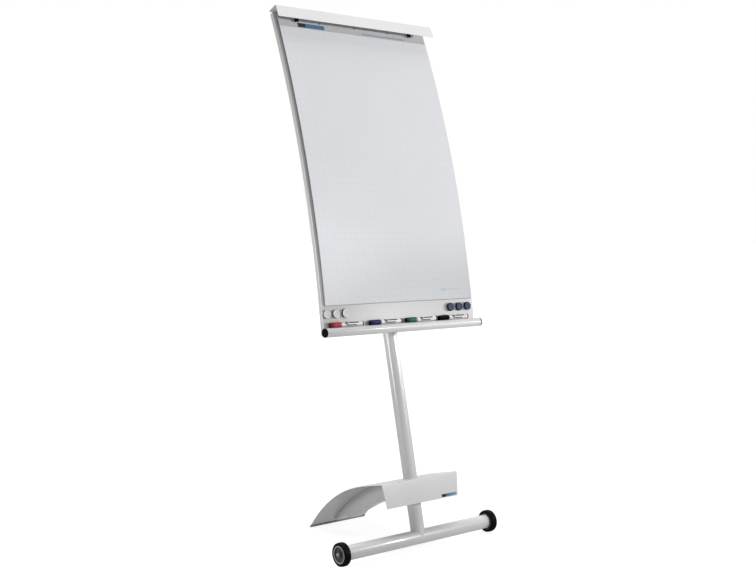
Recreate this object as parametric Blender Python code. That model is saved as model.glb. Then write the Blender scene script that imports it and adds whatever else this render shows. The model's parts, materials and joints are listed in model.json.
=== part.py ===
"""Mobile flipchart easel with a curved steel board, a paper pad, a marker tube and two wheels.

Metres, +Z up. The front faces -Y and the board's right side is +X. The origin is on the floor,
at the middle of the easel's footprint. Two sloping frames carry most of the parts. In both, local
Y points backwards and local Z points up the slope:
- the mast frame starts on the crossbar's axis and leans back with the mast,
- a board frame stands at a distance s up the curved board and leans back with it there.
"""

import math

import bmesh
import bpy
from mathutils import Matrix, Vector

GAP = 0.0003

# Wheels and crossbar
AXLE_Y = -0.2164
WHEEL_RADIUS = 0.040
WHEEL_WIDTH = 0.0236
WHEEL_X = 0.3422
HUB_RADIUS = 0.030
AXLE_RADIUS = 0.005
AXLE_BORE = 0.0053
AXLE_INNER_END = 0.035
TUBE_RADIUS = 0.025
TUBE_WALL = 0.002
PLUG_FLANGE = 0.003
PLUG_INSERT = 0.017
PLUG_CHAMFER = 0.001

# Mast
MAST_LEAN = math.radians(12.5)
MAST_LENGTH = 1.80
MAST_PLUG_INSERT = 0.020

# Foot, in the mast frame
FOOT_HEIGHT = 0.204
FOOT_FRONT = 0.054
FOOT_PLATE = 0.0844
FOOT_STRAIGHT = 0.1095
FOOT_RADIUS = 0.673
FOOT_SHEET = 0.0025
FOOT_FOLD = 0.004
FOOT_FRONT_HALF_WIDTH = 0.1755
FOOT_PLATE_HALF_WIDTH = 0.1642
FOOT_REAR_HALF_WIDTH = 0.1297
FOOT_END_HEIGHT = 0.004
STRIP_LIP = 0.009
STRIP_WALL = 0.0018

# Channel under the foot: its depth below the foot's top face, at angles from the vertical
SPINE_HALF_WIDTH = 0.030
SPINE_WALL = 0.003
SPINE_DEPTHS = ((12.5, 0.064), (22.0, 0.064), (31.7, 0.061), (36.5, 0.057), (40.6, 0.053), (41.6, 0.036),
                (44.5, 0.025), (47.4, 0.015))

# Board
BOARD_FOOT = Vector((0.0, AXLE_Y + 0.0816, 0.7636))
BOARD_LEAN = math.radians(7.12)
BOARD_RADIUS = 4.284
BOARD_LENGTH = 1.159
BOARD_HALF_WIDTH = 0.3515
BOARD_SHEET = 0.0015
BOARD_FLANGE = 0.0162
BOARD_EDGE_RADIUS = 0.003
BOARD_STATIONS = 16

# Supports behind the board
CROSSMEMBER_HALF_LENGTH = 0.345
CROSSMEMBER_HEIGHT = 0.060
CROSSMEMBER_DEPTH = 0.0140
LOWER_MEMBER_S = 0.085
UPPER_MEMBER_S = 0.960
LOWER_BRACKET_ENDS = (-0.005, 0.125)
UPPER_BRACKET_ENDS = (0.915, 1.005)
LOWER_BOLT_S = 0.060
BRACKET_WALL = 0.003
BRACKET_REACH = 0.012
BRACKET_BOLT_RADIUS = 0.004
BRACKET_BOLT_BORE = 0.0043
BRACKET_BOLT_HEAD = 0.0075
BRACKET_BOLT_HEAD_DEPTH = 0.005

# Marker tube
TRAY_S = 0.0105
TRAY_OUT = 0.0160
TRAY_RADIUS = 0.0155
TRAY_WALL = 0.0015
TRAY_HALF_LENGTH = 0.3584
TRAY_CAP = 0.0034
TRAY_CAP_INSERT = 0.0137
TRAY_SCREW_X = 0.25
TRAY_SCREW_RADIUS = 0.003

# Paper pad
PAD_HALF_WIDTH = 0.340
PAD_BOTTOM_S = 0.1008
PAD_TOP_S = 1.155
PAD_BACK = 0.0020
CARD_SHEET = 0.0012
BLOCK_SHEET = 0.0025
HEADER_BOTTOM_S = 1.106
HEADER_SHEET = 0.0006
TOP_SHEET = 0.0003
PAD_STATIONS = 16
HOLE_S = 1.1345
HOLE_RADIUS = 0.0042
HOLE_DROP = 0.0006
HOLE_PLACES = (-0.263, -0.160, 0.0, 0.160, 0.263)

# Pad hooks
HOOK_X = 0.263
HOOK_PIN_RADIUS = 0.003
HOOK_PIN_BACK = 0.016
HOOK_FORK_OUT = 0.0098
HOOK_FORK_DEPTH = 0.0036
HOOK_SLOT_HALF_LENGTH = 0.030
HOOK_SLOT_HALF_HEIGHT = 0.0036
HOOK_HALF_WIDTH = 0.009
HOOK_NOTCH_HALF_WIDTH = 0.0028
KNOB_RADIUS = 0.011
KNOB_BACK = 0.0020
KNOB_DEPTH = 0.011
KNOB_FLUTE = 0.001
KNOB_POINTS = 24

# Clamp rail, in a board frame on its hinge axis
RAIL_HINGE_S = 1.1625
RAIL_HINGE_BACK = 0.001
RAIL_HALF_LENGTH = 0.3615
RAIL_FRONT = 0.041
RAIL_DROP = 0.0416
RAIL_SHEET = 0.0015
RAIL_FOLD = 0.003
KNUCKLE_RADIUS = 0.003
HINGE_PIN_RADIUS = 0.0015
HINGE_BORE = 0.0018
LEAF_START = 0.120
LEAF_END = 0.200
LEAF_DROP = 0.032

# Markers and magnets
MARKER_STARTS = (-0.3340, -0.1610, 0.0055, 0.1625)
MARKER_LENGTH = 0.145
MARKER_CAP_LENGTH = 0.049
MARKER_CAP_RADIUS = 0.0095
MARKER_RADIUS = 0.0086
MARKER_NECK_RADIUS = 0.0065
MARKER_PLUG_LENGTH = 0.006
MAGNET_RADIUS = 0.015
MAGNET_THICKNESS = 0.008
MAGNET_CHAMFER = 0.0015
MAGNET_S = 0.0725
WHITE_MAGNETS = (-0.3370, -0.2966, -0.2560)
BLUE_MAGNETS = (0.2330, 0.2755, 0.3180)

ROUND_STEPS = 32
FINE_STEPS = 40
HUB_STEPS = 28
MAGNET_STEPS = 24
SMALL_STEPS = 20
PIN_STEPS = 12
SHARP_ANGLE = math.radians(35)


# Scene and materials

def clear_scene():
    for obj in list(bpy.data.objects):
        bpy.data.objects.remove(obj, do_unlink=True)


def finish(name, colour, roughness, metallic=0.0):
    made = bpy.data.materials.new(name)
    made.use_nodes = True
    shader = made.node_tree.nodes["Principled BSDF"]
    shader.inputs["Base Color"].default_value = (*colour, 1.0)
    shader.inputs["Roughness"].default_value = roughness
    shader.inputs["Metallic"].default_value = metallic
    return made


def make_finishes():
    return {
        "white_paint": finish("white_paint", (0.78, 0.79, 0.79), 0.35),
        "steel": finish("steel", (0.60, 0.60, 0.60), 0.35, 1.0),
        "black_plastic": finish("black_plastic", (0.02, 0.02, 0.02), 0.45),
        "white_plastic": finish("white_plastic", (0.80, 0.80, 0.79), 0.40),
        "rubber": finish("rubber", (0.015, 0.015, 0.017), 0.75),
        "grey_plastic": finish("grey_plastic", (0.16, 0.17, 0.18), 0.50),
        "paper": finish("paper", (0.76, 0.77, 0.79), 0.85),
        "grey_card": finish("grey_card", (0.40, 0.41, 0.43), 0.85),
        "red_plastic": finish("red_plastic", (0.40, 0.02, 0.04), 0.35),
        "blue_plastic": finish("blue_plastic", (0.04, 0.04, 0.22), 0.35),
        "green_plastic": finish("green_plastic", (0.01, 0.12, 0.08), 0.35),
        "magnet_blue": finish("magnet_blue", (0.05, 0.10, 0.24), 0.40),
    }


# Mesh building

def loft(rings, closed_loop=False):
    """Skin rings of equally many points into one closed body, capped unless it closes on itself."""
    mesh = bmesh.new()
    layers = [[mesh.verts.new(point) for point in ring] for ring in rings]
    pairs = list(zip(layers, layers[1:]))
    if closed_loop:
        pairs.append((layers[-1], layers[0]))
    for near, far in pairs:
        for index, point in enumerate(near):
            following = (index + 1) % len(near)
            mesh.faces.new((point, near[following], far[following], far[index]))
    if not closed_loop:
        mesh.faces.new(list(reversed(layers[0])))
        mesh.faces.new(layers[-1])
    bmesh.ops.recalc_face_normals(mesh, faces=mesh.faces)
    return mesh


def turned(profile, steps=ROUND_STEPS, ring=True):
    """Spin (x, radius) points about the X axis. A ring's profile closes; any other ends on the axis."""
    mesh = bmesh.new()
    points = [mesh.verts.new((along, 0.0, radius)) for along, radius in profile]
    following = points[1:] + points[:1] if ring else points[1:]
    edges = [mesh.edges.new(pair) for pair in zip(points, following)]
    bmesh.ops.spin(mesh, geom=points + edges, cent=(0, 0, 0), axis=(1, 0, 0), angle=math.tau, steps=steps,
                   use_merge=True)
    bmesh.ops.remove_doubles(mesh, verts=mesh.verts, dist=1e-6)
    bmesh.ops.recalc_face_normals(mesh, faces=mesh.faces)
    return mesh


def extruded(outline, start_x, end_x):
    """Extrude a (y, z) outline along X."""
    return loft([[(x, y, z) for y, z in outline] for x in (start_x, end_x)])


def arc(centre, radius, start, end, steps):
    """Points of a circular arc as (y, z), with angles in degrees from +Y towards +Z."""
    angles = [math.radians(start + (end - start) * index / steps) for index in range(steps + 1)]
    return [(centre[0] + radius * math.cos(angle), centre[1] + radius * math.sin(angle)) for angle in angles]


def tube_profile(half_length, radius, wall):
    return [(-half_length, radius), (half_length, radius), (half_length, radius - wall),
            (-half_length, radius - wall)]


def place(name, mesh, surface, frame=None):
    """Make an object of a mesh built in a local frame, with its origin on that frame's origin."""
    data = bpy.data.meshes.new(name)
    mesh.to_mesh(data)
    mesh.free()
    data.shade_smooth()
    data.set_sharp_from_angle(angle=SHARP_ANGLE)
    if surface:
        data.materials.append(surface)
    obj = bpy.data.objects.new(name, data)
    bpy.context.scene.collection.objects.link(obj)
    obj.matrix_world = frame or Matrix.Identity(4)
    return obj


def helper(name, mesh, frame=None):
    obj = place(name, mesh, None, frame)
    obj.hide_render = True
    obj.display_type = "WIRE"
    return obj


def combine(target, other, operation="DIFFERENCE"):
    modifier = target.modifiers.new(other.name, "BOOLEAN")
    modifier.operation = operation
    modifier.solver = "EXACT"
    modifier.object = other


def across(axis):
    """A turn that takes the X axis of a turned body to local -Y ("out") or to local Z ("up")."""
    if axis == "out":
        return Matrix.Rotation(math.radians(-90), 4, "Z")
    return Matrix.Rotation(math.radians(-90), 4, "Y")


# Frames

def at(x=0.0, y=0.0, z=0.0):
    return Matrix.Translation((x, y, z))


def mast_frame():
    return at(0.0, AXLE_Y, WHEEL_RADIUS) @ Matrix.Rotation(-MAST_LEAN, 4, "X")


def board_frame(s, out=0.0, x=0.0):
    """The frame at a distance s up the board and a distance out in front of its face."""
    lean = BOARD_LEAN + s / BOARD_RADIUS
    back = (math.cos(BOARD_LEAN) - math.cos(lean)) * BOARD_RADIUS
    up = (math.sin(lean) - math.sin(BOARD_LEAN)) * BOARD_RADIUS
    foot = BOARD_FOOT + Vector((x, back, up))
    return Matrix.Translation(foot) @ Matrix.Rotation(-lean, 4, "X") @ at(y=-out)


def on_board(x, s, out):
    return board_frame(s, out, x).translation


def steps_between(start, end, count):
    return [start + (end - start) * index / count for index in range(count + 1)]


# Wheels and crossbar

def make_wheel(side, name, finishes):
    """One wheel with its axle bolt. Local +X faces inwards on the left, so the right one turns half round."""
    frame = at(side * WHEEL_X, AXLE_Y, WHEEL_RADIUS) @ Matrix.Rotation(0.0 if side < 0 else math.pi, 4, "Z")
    half = WHEEL_WIDTH / 2
    inner = HUB_RADIUS + GAP
    crown = [(-half, 0.0360), (-0.0104, 0.0386), (-0.0070, 0.0397), (0.0, WHEEL_RADIUS), (0.0070, 0.0397),
             (0.0104, 0.0386), (half, 0.0360)]
    place(f"tyre_{name}", turned([(-half, inner)] + crown + [(half, inner)]), finishes["rubber"], frame)
    outer_face = [(-0.0130, AXLE_BORE), (-0.0130, 0.0090), (-0.0060, 0.0110), (-0.0050, 0.0230),
                  (-0.0110, 0.0268), (-0.0116, HUB_RADIUS)]
    inner_face = [(0.0116, HUB_RADIUS), (0.0116, AXLE_BORE)]
    place(f"hub_{name}", turned(outer_face + inner_face, HUB_STEPS), finishes["grey_plastic"], frame)
    bolt = [(-0.0205, 0.0), (-0.0200, 0.0045), (-0.0180, 0.0075), (-0.0134, 0.0080), (-0.0134, AXLE_RADIUS),
            (AXLE_INNER_END, AXLE_RADIUS), (AXLE_INNER_END, 0.0)]
    place(f"axle_bolt_{name}", turned(bolt, SMALL_STEPS, ring=False), finishes["steel"], frame)


def make_crossbar(finishes):
    wheel_inner = WHEEL_X - WHEEL_WIDTH / 2
    flange = wheel_inner - 2 * GAP
    half_length = flange - PLUG_FLANGE - GAP
    frame = at(0.0, AXLE_Y, WHEEL_RADIUS)
    bar = turned(tube_profile(half_length, TUBE_RADIUS, TUBE_WALL))
    place("crossbar_tube", bar, finishes["white_paint"], frame)
    spigot = TUBE_RADIUS - TUBE_WALL - GAP
    shoulder = flange - PLUG_FLANGE
    end = shoulder - PLUG_INSERT
    profile = [(flange, AXLE_BORE), (flange, TUBE_RADIUS - PLUG_CHAMFER),
               (flange - PLUG_CHAMFER, TUBE_RADIUS), (shoulder, TUBE_RADIUS), (shoulder, spigot), (end, spigot),
               (end, AXLE_BORE)]
    for side, name in ((-1, "left"), (1, "right")):
        mirrored = [(side * along, radius) for along, radius in profile]
        place(f"crossbar_plug_{name}", turned(mirrored), finishes["white_plastic"], frame)


# Mast and foot

def make_mast(finishes):
    frame = mast_frame()
    profile = [(0.0, TUBE_RADIUS), (MAST_LENGTH, TUBE_RADIUS), (MAST_LENGTH, TUBE_RADIUS - TUBE_WALL),
               (0.0, TUBE_RADIUS - TUBE_WALL)]
    mast = place("mast_tube", turned(profile), finishes["white_paint"], frame @ across("up"))
    saddle = turned([(-0.05, 0.0), (-0.05, TUBE_RADIUS + GAP), (0.05, TUBE_RADIUS + GAP), (0.05, 0.0)],
                    FINE_STEPS, ring=False)
    combine(mast, helper("cut_mast_saddle", saddle, frame))
    top = MAST_LENGTH + GAP
    spigot = TUBE_RADIUS - TUBE_WALL - GAP
    plug = [(top + 0.004, 0.0), (top + 0.004, 0.021), (top + 0.0025, TUBE_RADIUS), (top, TUBE_RADIUS),
            (top, spigot), (top - MAST_PLUG_INSERT, spigot), (top - MAST_PLUG_INSERT, 0.0)]
    place("mast_top_plug", turned(plug, ring=False), finishes["black_plastic"], frame @ across("up"))
    return mast


def foot_arc_centre():
    return Vector((FOOT_STRAIGHT - FOOT_FRONT, FOOT_HEIGHT - FOOT_RADIUS))


def foot_end_turn():
    """How far the foot's curve turns in the mast frame before its outer face is just above the floor."""
    centre = foot_arc_centre()
    centre_height = WHEEL_RADIUS + centre.y * math.cos(MAST_LEAN) - centre.x * math.sin(MAST_LEAN)
    return math.acos((FOOT_END_HEIGHT - centre_height) / FOOT_RADIUS) - MAST_LEAN


def foot_half_width(back):
    end = foot_arc_centre().x + FOOT_RADIUS * math.sin(foot_end_turn())
    share = (back + FOOT_FRONT) / (end + FOOT_FRONT)
    return FOOT_FRONT_HALF_WIDTH + (FOOT_REAR_HALF_WIDTH - FOOT_FRONT_HALF_WIDTH) * share


def foot_stations():
    """(back, up, outward normal, half width) along the foot's outer face, from the plate's lower edge."""
    yield -FOOT_FRONT, FOOT_HEIGHT - FOOT_PLATE, (-1.0, 0.0), FOOT_PLATE_HALF_WIDTH
    for turn in steps_between(0.0, math.pi / 2, 3):
        normal = (-math.cos(turn), math.sin(turn))
        back = FOOT_FOLD - FOOT_FRONT + FOOT_FOLD * normal[0]
        up = FOOT_HEIGHT - FOOT_FOLD + FOOT_FOLD * normal[1]
        yield back, up, normal, foot_half_width(back)
    centre = foot_arc_centre()
    for turn in steps_between(0.0, foot_end_turn(), 14):
        normal = (math.sin(turn), math.cos(turn))
        back = centre.x + FOOT_RADIUS * normal[0]
        yield back, centre.y + FOOT_RADIUS * normal[1], normal, foot_half_width(back)


def make_foot_sheet(finishes):
    rings = []
    for back, up, normal, half in foot_stations():
        inner_back = back - FOOT_SHEET * normal[0]
        inner_up = up - FOOT_SHEET * normal[1]
        rings.append([(-half, back, up), (half, back, up), (half, inner_back, inner_up),
                      (-half, inner_back, inner_up)])
    sheet = place("foot_sheet", loft(rings), finishes["white_paint"], mast_frame())
    reach = TUBE_RADIUS + 0.0008
    hole = turned([(0.15, 0.0), (0.15, reach), (0.25, reach), (0.25, 0.0)], FINE_STEPS, ring=False)
    combine(sheet, helper("cut_foot_hole", hole, mast_frame() @ across("up")))


def spine_depth(turn):
    angle = math.degrees(turn + MAST_LEAN)
    for (start, near), (end, far) in zip(SPINE_DEPTHS, SPINE_DEPTHS[1:]):
        if angle <= end:
            return near + (far - near) * (angle - start) / (end - start)
    return SPINE_DEPTHS[-1][1]


def spine_ring(back, up, normal, depth):
    """The open channel's outline, square to the foot's face, with its mouth towards the foot."""
    half = SPINE_HALF_WIDTH
    top = FOOT_SHEET + GAP
    corners = [(-half, top), (-half, depth), (half, depth), (half, top), (half - SPINE_WALL, top),
               (half - SPINE_WALL, depth - SPINE_WALL), (SPINE_WALL - half, depth - SPINE_WALL),
               (SPINE_WALL - half, top)]
    return [(x, back - below * normal[0], up - below * normal[1]) for x, below in corners]


def make_foot_spine(finishes):
    centre = foot_arc_centre()
    start = TUBE_RADIUS + 0.0006
    rings = [spine_ring(start, FOOT_HEIGHT, (0.0, 1.0), SPINE_DEPTHS[0][1])]
    turns = sorted(set(math.radians(angle) - MAST_LEAN for angle, _ in SPINE_DEPTHS))
    turns += [math.radians(angle) - MAST_LEAN for angle in (17.0, 27.0)]
    for turn in sorted(turns):
        normal = (math.sin(turn), math.cos(turn))
        back = centre.x + FOOT_RADIUS * normal[0]
        up = centre.y + FOOT_RADIUS * normal[1]
        rings.append(spine_ring(back, up, normal, spine_depth(turn)))
    place("foot_spine", loft(rings), finishes["white_paint"], mast_frame())


def make_foot_edge_strip(finishes):
    """A rubber strip with a flat sole, pushed onto the foot's rear edge."""
    turn = foot_end_turn()
    centre = foot_arc_centre()
    local = Vector((0.0, centre.x + FOOT_RADIUS * math.sin(turn), centre.y + FOOT_RADIUS * math.cos(turn)))
    edge = mast_frame() @ local
    lean = turn + MAST_LEAN
    along = Vector((math.cos(lean), -math.sin(lean)))
    outward = Vector((math.sin(lean), math.cos(lean)))

    def point(before, out):
        return Vector((edge.y, edge.z)) - along * before + outward * out

    def on_floor(start):
        return start + along * (start.y / math.sin(lean))

    outer = point(STRIP_LIP, STRIP_WALL)
    inner = point(STRIP_LIP, -FOOT_SHEET - STRIP_WALL)
    outline = [outer, point(STRIP_LIP, GAP), point(-GAP, GAP), point(-GAP, -FOOT_SHEET - GAP),
               point(STRIP_LIP, -FOOT_SHEET - GAP), inner, on_floor(inner), on_floor(outer)]
    half = FOOT_REAR_HALF_WIDTH
    place("foot_edge_strip", extruded([tuple(corner) for corner in outline], -half, half), finishes["rubber"])


# Board

def board_section():
    """(x, back) outline of the folded board: a face with a flange along each side."""
    half = BOARD_HALF_WIDTH
    bend = BOARD_EDGE_RADIUS
    inner_bend = bend - BOARD_SHEET
    left_outer = arc((bend - half, bend), bend, 180, 270, 3)
    left_inner = arc((bend - half, bend), inner_bend, 270, 180, 2)
    left = [(-half, BOARD_FLANGE)] + left_outer
    left_back = left_inner + [(BOARD_SHEET - half, BOARD_FLANGE)]
    right = [(-x, back) for x, back in reversed(left)]
    right_back = [(-x, back) for x, back in reversed(left_back)]
    return left + right + right_back + left_back


def make_board(finishes):
    section = board_section()
    rings = []
    for s in steps_between(0.0, BOARD_LENGTH, BOARD_STATIONS):
        frame = board_frame(s)
        rings.append([frame @ Vector((x, back, 0.0)) for x, back in section])
    board = place("board_panel", loft(rings), finishes["white_paint"])
    for side, name in ((-1, "left"), (1, "right")):
        slot = slot_cutter(side * HOOK_X)
        combine(board, helper(f"cut_hook_slot_{name}", slot, board_frame(HOLE_S)))
        combine(board, tray_screw_cutter(side, f"cut_board_screw_{name}"))


def slot_cutter(centre_x):
    """A long slot with round ends that passes through the board."""
    straight = HOOK_SLOT_HALF_LENGTH - HOOK_SLOT_HALF_HEIGHT
    right = arc((straight, 0.0), HOOK_SLOT_HALF_HEIGHT, -90, 90, 6)
    left = arc((-straight, 0.0), HOOK_SLOT_HALF_HEIGHT, 90, 270, 6)
    return loft([[(centre_x + x, y, z) for x, z in right + left] for y in (-0.01, 0.01)])


def u_ring(half, wall, start, end, z):
    """A U in the XY plane: its web lies at y = start and its legs reach back to y = end."""
    outer = [(-half, end, z), (-half, start, z), (half, start, z), (half, end, z)]
    inner = [(half - wall, end, z), (half - wall, start + wall, z), (wall - half, start + wall, z),
             (wall - half, end, z)]
    return outer + inner


def make_crossmember(name, s, finishes):
    """A channel across the board's back, with its open side towards the board."""
    top = CROSSMEMBER_HEIGHT / 2
    front = BOARD_SHEET + GAP
    back = front + CROSSMEMBER_DEPTH
    outline = [(front, -top), (back, -top), (back, top), (front, top), (front, top - BOARD_SHEET),
               (back - BOARD_SHEET, top - BOARD_SHEET), (back - BOARD_SHEET, BOARD_SHEET - top),
               (front, BOARD_SHEET - top)]
    mesh = extruded(outline, -CROSSMEMBER_HALF_LENGTH, CROSSMEMBER_HALF_LENGTH)
    place(name, mesh, finishes["white_paint"], board_frame(s))


def mast_distance(s):
    """Distance straight back from the board's face to the mast's axis."""
    frame = board_frame(s)
    to_mast = mast_frame().inverted()
    start = to_mast @ frame.translation
    direction = to_mast.to_3x3() @ (frame.to_3x3() @ Vector((0.0, 1.0, 0.0)))
    return -start.y / direction.y


def make_bracket(name, ends, bolt_s, mast, finishes):
    """A folded U that reaches from a crossmember round both sides of the mast, with its through bolt."""
    half = TUBE_RADIUS + 0.0006 + BRACKET_WALL
    web = BOARD_SHEET + 2 * GAP + CROSSMEMBER_DEPTH
    rings = []
    for s in ends:
        frame = board_frame(s)
        ring = u_ring(half, BRACKET_WALL, web, mast_distance(s) + BRACKET_REACH, 0.0)
        rings.append([frame @ Vector(point) for point in ring])
    bracket = place(name, loft(rings), finishes["white_paint"])
    bolt_frame = board_frame(bolt_s, -mast_distance(bolt_s))
    bore = turned([(-0.05, 0.0), (-0.05, BRACKET_BOLT_BORE), (0.05, BRACKET_BOLT_BORE), (0.05, 0.0)],
                  SMALL_STEPS, ring=False)
    cutter = helper(f"cut_{name}_bolt", bore, bolt_frame)
    combine(bracket, cutter)
    combine(mast, cutter)
    head = half + GAP
    end = head + BRACKET_BOLT_HEAD_DEPTH
    half_bolt = [(head, BRACKET_BOLT_RADIUS), (head, BRACKET_BOLT_HEAD), (end, BRACKET_BOLT_HEAD - 0.0005),
                 (end, 0.0)]
    bolt = [(-along, radius) for along, radius in reversed(half_bolt)] + half_bolt
    place(f"{name}_bolt", turned(bolt, SMALL_STEPS, ring=False), finishes["steel"], bolt_frame)


# Marker tube

def tray_screw_cutter(side, name):
    radius = TRAY_SCREW_RADIUS + GAP
    bore = turned([(-0.012, 0.0), (-0.012, radius), (0.020, radius), (0.020, 0.0)], SMALL_STEPS, ring=False)
    return helper(name, bore, board_frame(TRAY_S, 0.0, side * TRAY_SCREW_X) @ across("out").inverted())


def make_tray(finishes):
    frame = board_frame(TRAY_S, TRAY_OUT)
    profile = tube_profile(TRAY_HALF_LENGTH, TRAY_RADIUS, TRAY_WALL)
    tube = place("tray_tube", turned(profile, ROUND_STEPS), finishes["white_paint"], frame)
    spigot = TRAY_RADIUS - TRAY_WALL - GAP
    start = TRAY_HALF_LENGTH + GAP
    end = TRAY_HALF_LENGTH + TRAY_CAP
    cap = [(end, 0.0), (end, TRAY_RADIUS - 0.0015), (end - 0.0015, TRAY_RADIUS), (start, TRAY_RADIUS),
           (start, spigot), (start - TRAY_CAP_INSERT, spigot), (start - TRAY_CAP_INSERT, 0.0)]
    screw = [(-0.0050, 0.0), (-0.0046, 0.0038), (-0.0019, 0.0055), (-0.0019, TRAY_SCREW_RADIUS),
             (0.0110, TRAY_SCREW_RADIUS), (0.0110, 0.0)]
    for side, name in ((-1, "left"), (1, "right")):
        mirrored = [(side * along, radius) for along, radius in cap]
        place(f"tray_cap_{name}", turned(mirrored, ring=False), finishes["black_plastic"], frame)
        combine(tube, tray_screw_cutter(side, f"cut_tube_screw_{name}"))
        screw_frame = board_frame(TRAY_S, 0.0, side * TRAY_SCREW_X) @ across("out")
        place(f"tray_screw_{name}", turned(screw, SMALL_STEPS, ring=False), finishes["steel"], screw_frame)


# Paper pad

def curved_sheet(half_width, bottom_s, top_s, back, front, stations):
    """A sheet that follows the board's curve, from a distance back to a distance front off its face."""
    rings = []
    for s in steps_between(bottom_s, top_s, stations):
        rings.append([on_board(-half_width, s, front), on_board(half_width, s, front),
                      on_board(half_width, s, back), on_board(-half_width, s, back)])
    return loft(rings)


def pad_pivot():
    return board_frame(HOLE_S, PAD_BACK + CARD_SHEET)


def place_on(frame, name, mesh, surface):
    """Place a mesh that was built in world coordinates, with its origin moved to a frame."""
    mesh.transform(frame.inverted())
    return place(name, mesh, surface, frame)


def pad_hole_cutter():
    """Five short rods in one helper, one for each hole."""
    mesh = bmesh.new()
    for x in HOLE_PLACES:
        frame = board_frame(HOLE_S - HOLE_DROP, 0.0, x)
        start = frame @ Matrix.Translation((0, -0.006, 0)) @ Matrix.Rotation(math.pi / 2, 4, "X")
        bmesh.ops.create_cone(mesh, cap_ends=True, segments=16, radius1=HOLE_RADIUS, radius2=HOLE_RADIUS,
                              depth=0.016, matrix=start)
    return helper("cut_pad_holes", mesh)


def make_pad(finishes):
    block_back = PAD_BACK + CARD_SHEET + GAP
    block_front = block_back + BLOCK_SHEET
    front = block_front + GAP
    pivot = pad_pivot()
    holes = pad_hole_cutter()
    sheets = (
        ("pad_backing_card", PAD_BOTTOM_S, PAD_BACK, PAD_BACK + CARD_SHEET, "grey_card", PAD_STATIONS),
        ("pad_paper_block", PAD_BOTTOM_S, block_back, block_front, "paper", PAD_STATIONS),
        ("pad_header", HEADER_BOTTOM_S, front, front + HEADER_SHEET, "grey_card", 1),
    )
    for name, bottom, back, outer, surface, stations in sheets:
        mesh = curved_sheet(PAD_HALF_WIDTH, bottom, PAD_TOP_S, back, outer, stations)
        combine(place_on(pivot, name, mesh, finishes[surface]), holes)
    hinge = board_frame(HEADER_BOTTOM_S - GAP, front + TOP_SHEET)
    page = curved_sheet(PAD_HALF_WIDTH, PAD_BOTTOM_S, HEADER_BOTTOM_S - GAP, front, front + TOP_SHEET,
                        PAD_STATIONS)
    place_on(hinge, "pad_top_sheet", page, finishes["paper"])


def make_hook(side, name, finishes):
    """A pin through the board's slot and the pad's hole, with a two-pronged front and a nut behind."""
    frame = board_frame(HOLE_S, 0.0, side * HOOK_X)
    half = HOOK_HALF_WIDTH
    notch = HOOK_NOTCH_HALF_WIDTH
    front = HOOK_FORK_OUT
    top = arc((0.0, 0.004), half, 0, 180, 8)
    prongs = [(-half, -0.0060), (-half + 0.002, -0.0075), (-notch - 0.001, -0.0075), (-notch, -0.0060),
              (-notch, -0.0036), (notch, -0.0036), (notch, -0.0060), (notch + 0.001, -0.0075),
              (half - 0.002, -0.0075), (half, -0.0060)]
    outline = top + prongs
    fork = loft([[(x, y, z) for x, z in outline] for y in (-front, -front - HOOK_FORK_DEPTH)])
    hook = place(f"paper_hook_{name}", fork, finishes["black_plastic"], frame)
    radius = HOOK_PIN_RADIUS
    tip = front + 0.001
    profile = [(-HOOK_PIN_BACK, 0.0), (-HOOK_PIN_BACK, radius), (tip, radius), (tip, 0.0)]
    pin = turned(profile, SMALL_STEPS, ring=False)
    combine(hook, helper(f"add_hook_pin_{name}", pin, frame @ across("out")), "UNION")
    place(f"hook_knob_{name}", make_knob(radius + GAP), finishes["black_plastic"], frame)


def make_knob(bore):
    """A round nut with a fluted rim. Its rings run along the outer rim and back along the bore."""
    front = KNOB_BACK
    back = KNOB_BACK + KNOB_DEPTH
    rings = []
    for depth, inside in ((front, False), (back, False), (back, True), (front, True)):
        ring = []
        for index in range(KNOB_POINTS):
            angle = math.tau * index / KNOB_POINTS
            rim = KNOB_RADIUS - KNOB_FLUTE * (index % 2)
            reach = bore if inside else rim
            ring.append((reach * math.cos(angle), depth, reach * math.sin(angle)))
        rings.append(ring)
    return loft(rings, closed_loop=True)


# Clamp rail

def hinge_frame():
    return board_frame(RAIL_HINGE_S, -RAIL_HINGE_BACK)


def make_rail(finishes):
    """A folded cover with a hinge curl along its rear edge, notched for the two leaves."""
    top = KNUCKLE_RADIUS
    under = top - RAIL_SHEET
    front = RAIL_FRONT
    curl = arc((0.0, 0.0), KNUCKLE_RADIUS, 90, -210, 10)
    fold = arc((RAIL_FOLD - front, top - RAIL_FOLD), RAIL_FOLD, 180, 90, 3)
    inner_fold = arc((RAIL_FOLD - front, top - RAIL_FOLD), RAIL_FOLD - RAIL_SHEET, 90, 180, 2)
    outline = curl + [(-0.0034, under)] + inner_fold
    outline += [(RAIL_SHEET - front, -RAIL_DROP), (-front, -RAIL_DROP)] + fold
    frame = hinge_frame()
    cover = extruded(outline, -RAIL_HALF_LENGTH, RAIL_HALF_LENGTH)
    rail = place("clamp_rail", cover, finishes["white_paint"], frame)
    for side, name in ((-1, "left"), (1, "right")):
        ends = sorted((side * (LEAF_START - GAP), side * (LEAF_END + GAP)))
        notch = [(-0.0036, -0.006), (0.006, -0.006), (0.006, 0.006), (-0.0036, 0.006)]
        combine(rail, helper(f"cut_rail_notch_{name}", extruded(notch, *ends), frame))
    bore = hinge_bore()
    combine(rail, bore)
    for side, name in ((-1, "left"), (1, "right")):
        make_leaf(side, name, bore, frame, finishes)
    reach = RAIL_HALF_LENGTH - 0.004
    pin = [(-reach, 0.0), (-reach, HINGE_PIN_RADIUS), (reach, HINGE_PIN_RADIUS), (reach, 0.0)]
    place("rail_hinge_pin", turned(pin, PIN_STEPS, ring=False), finishes["steel"], frame)


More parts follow.
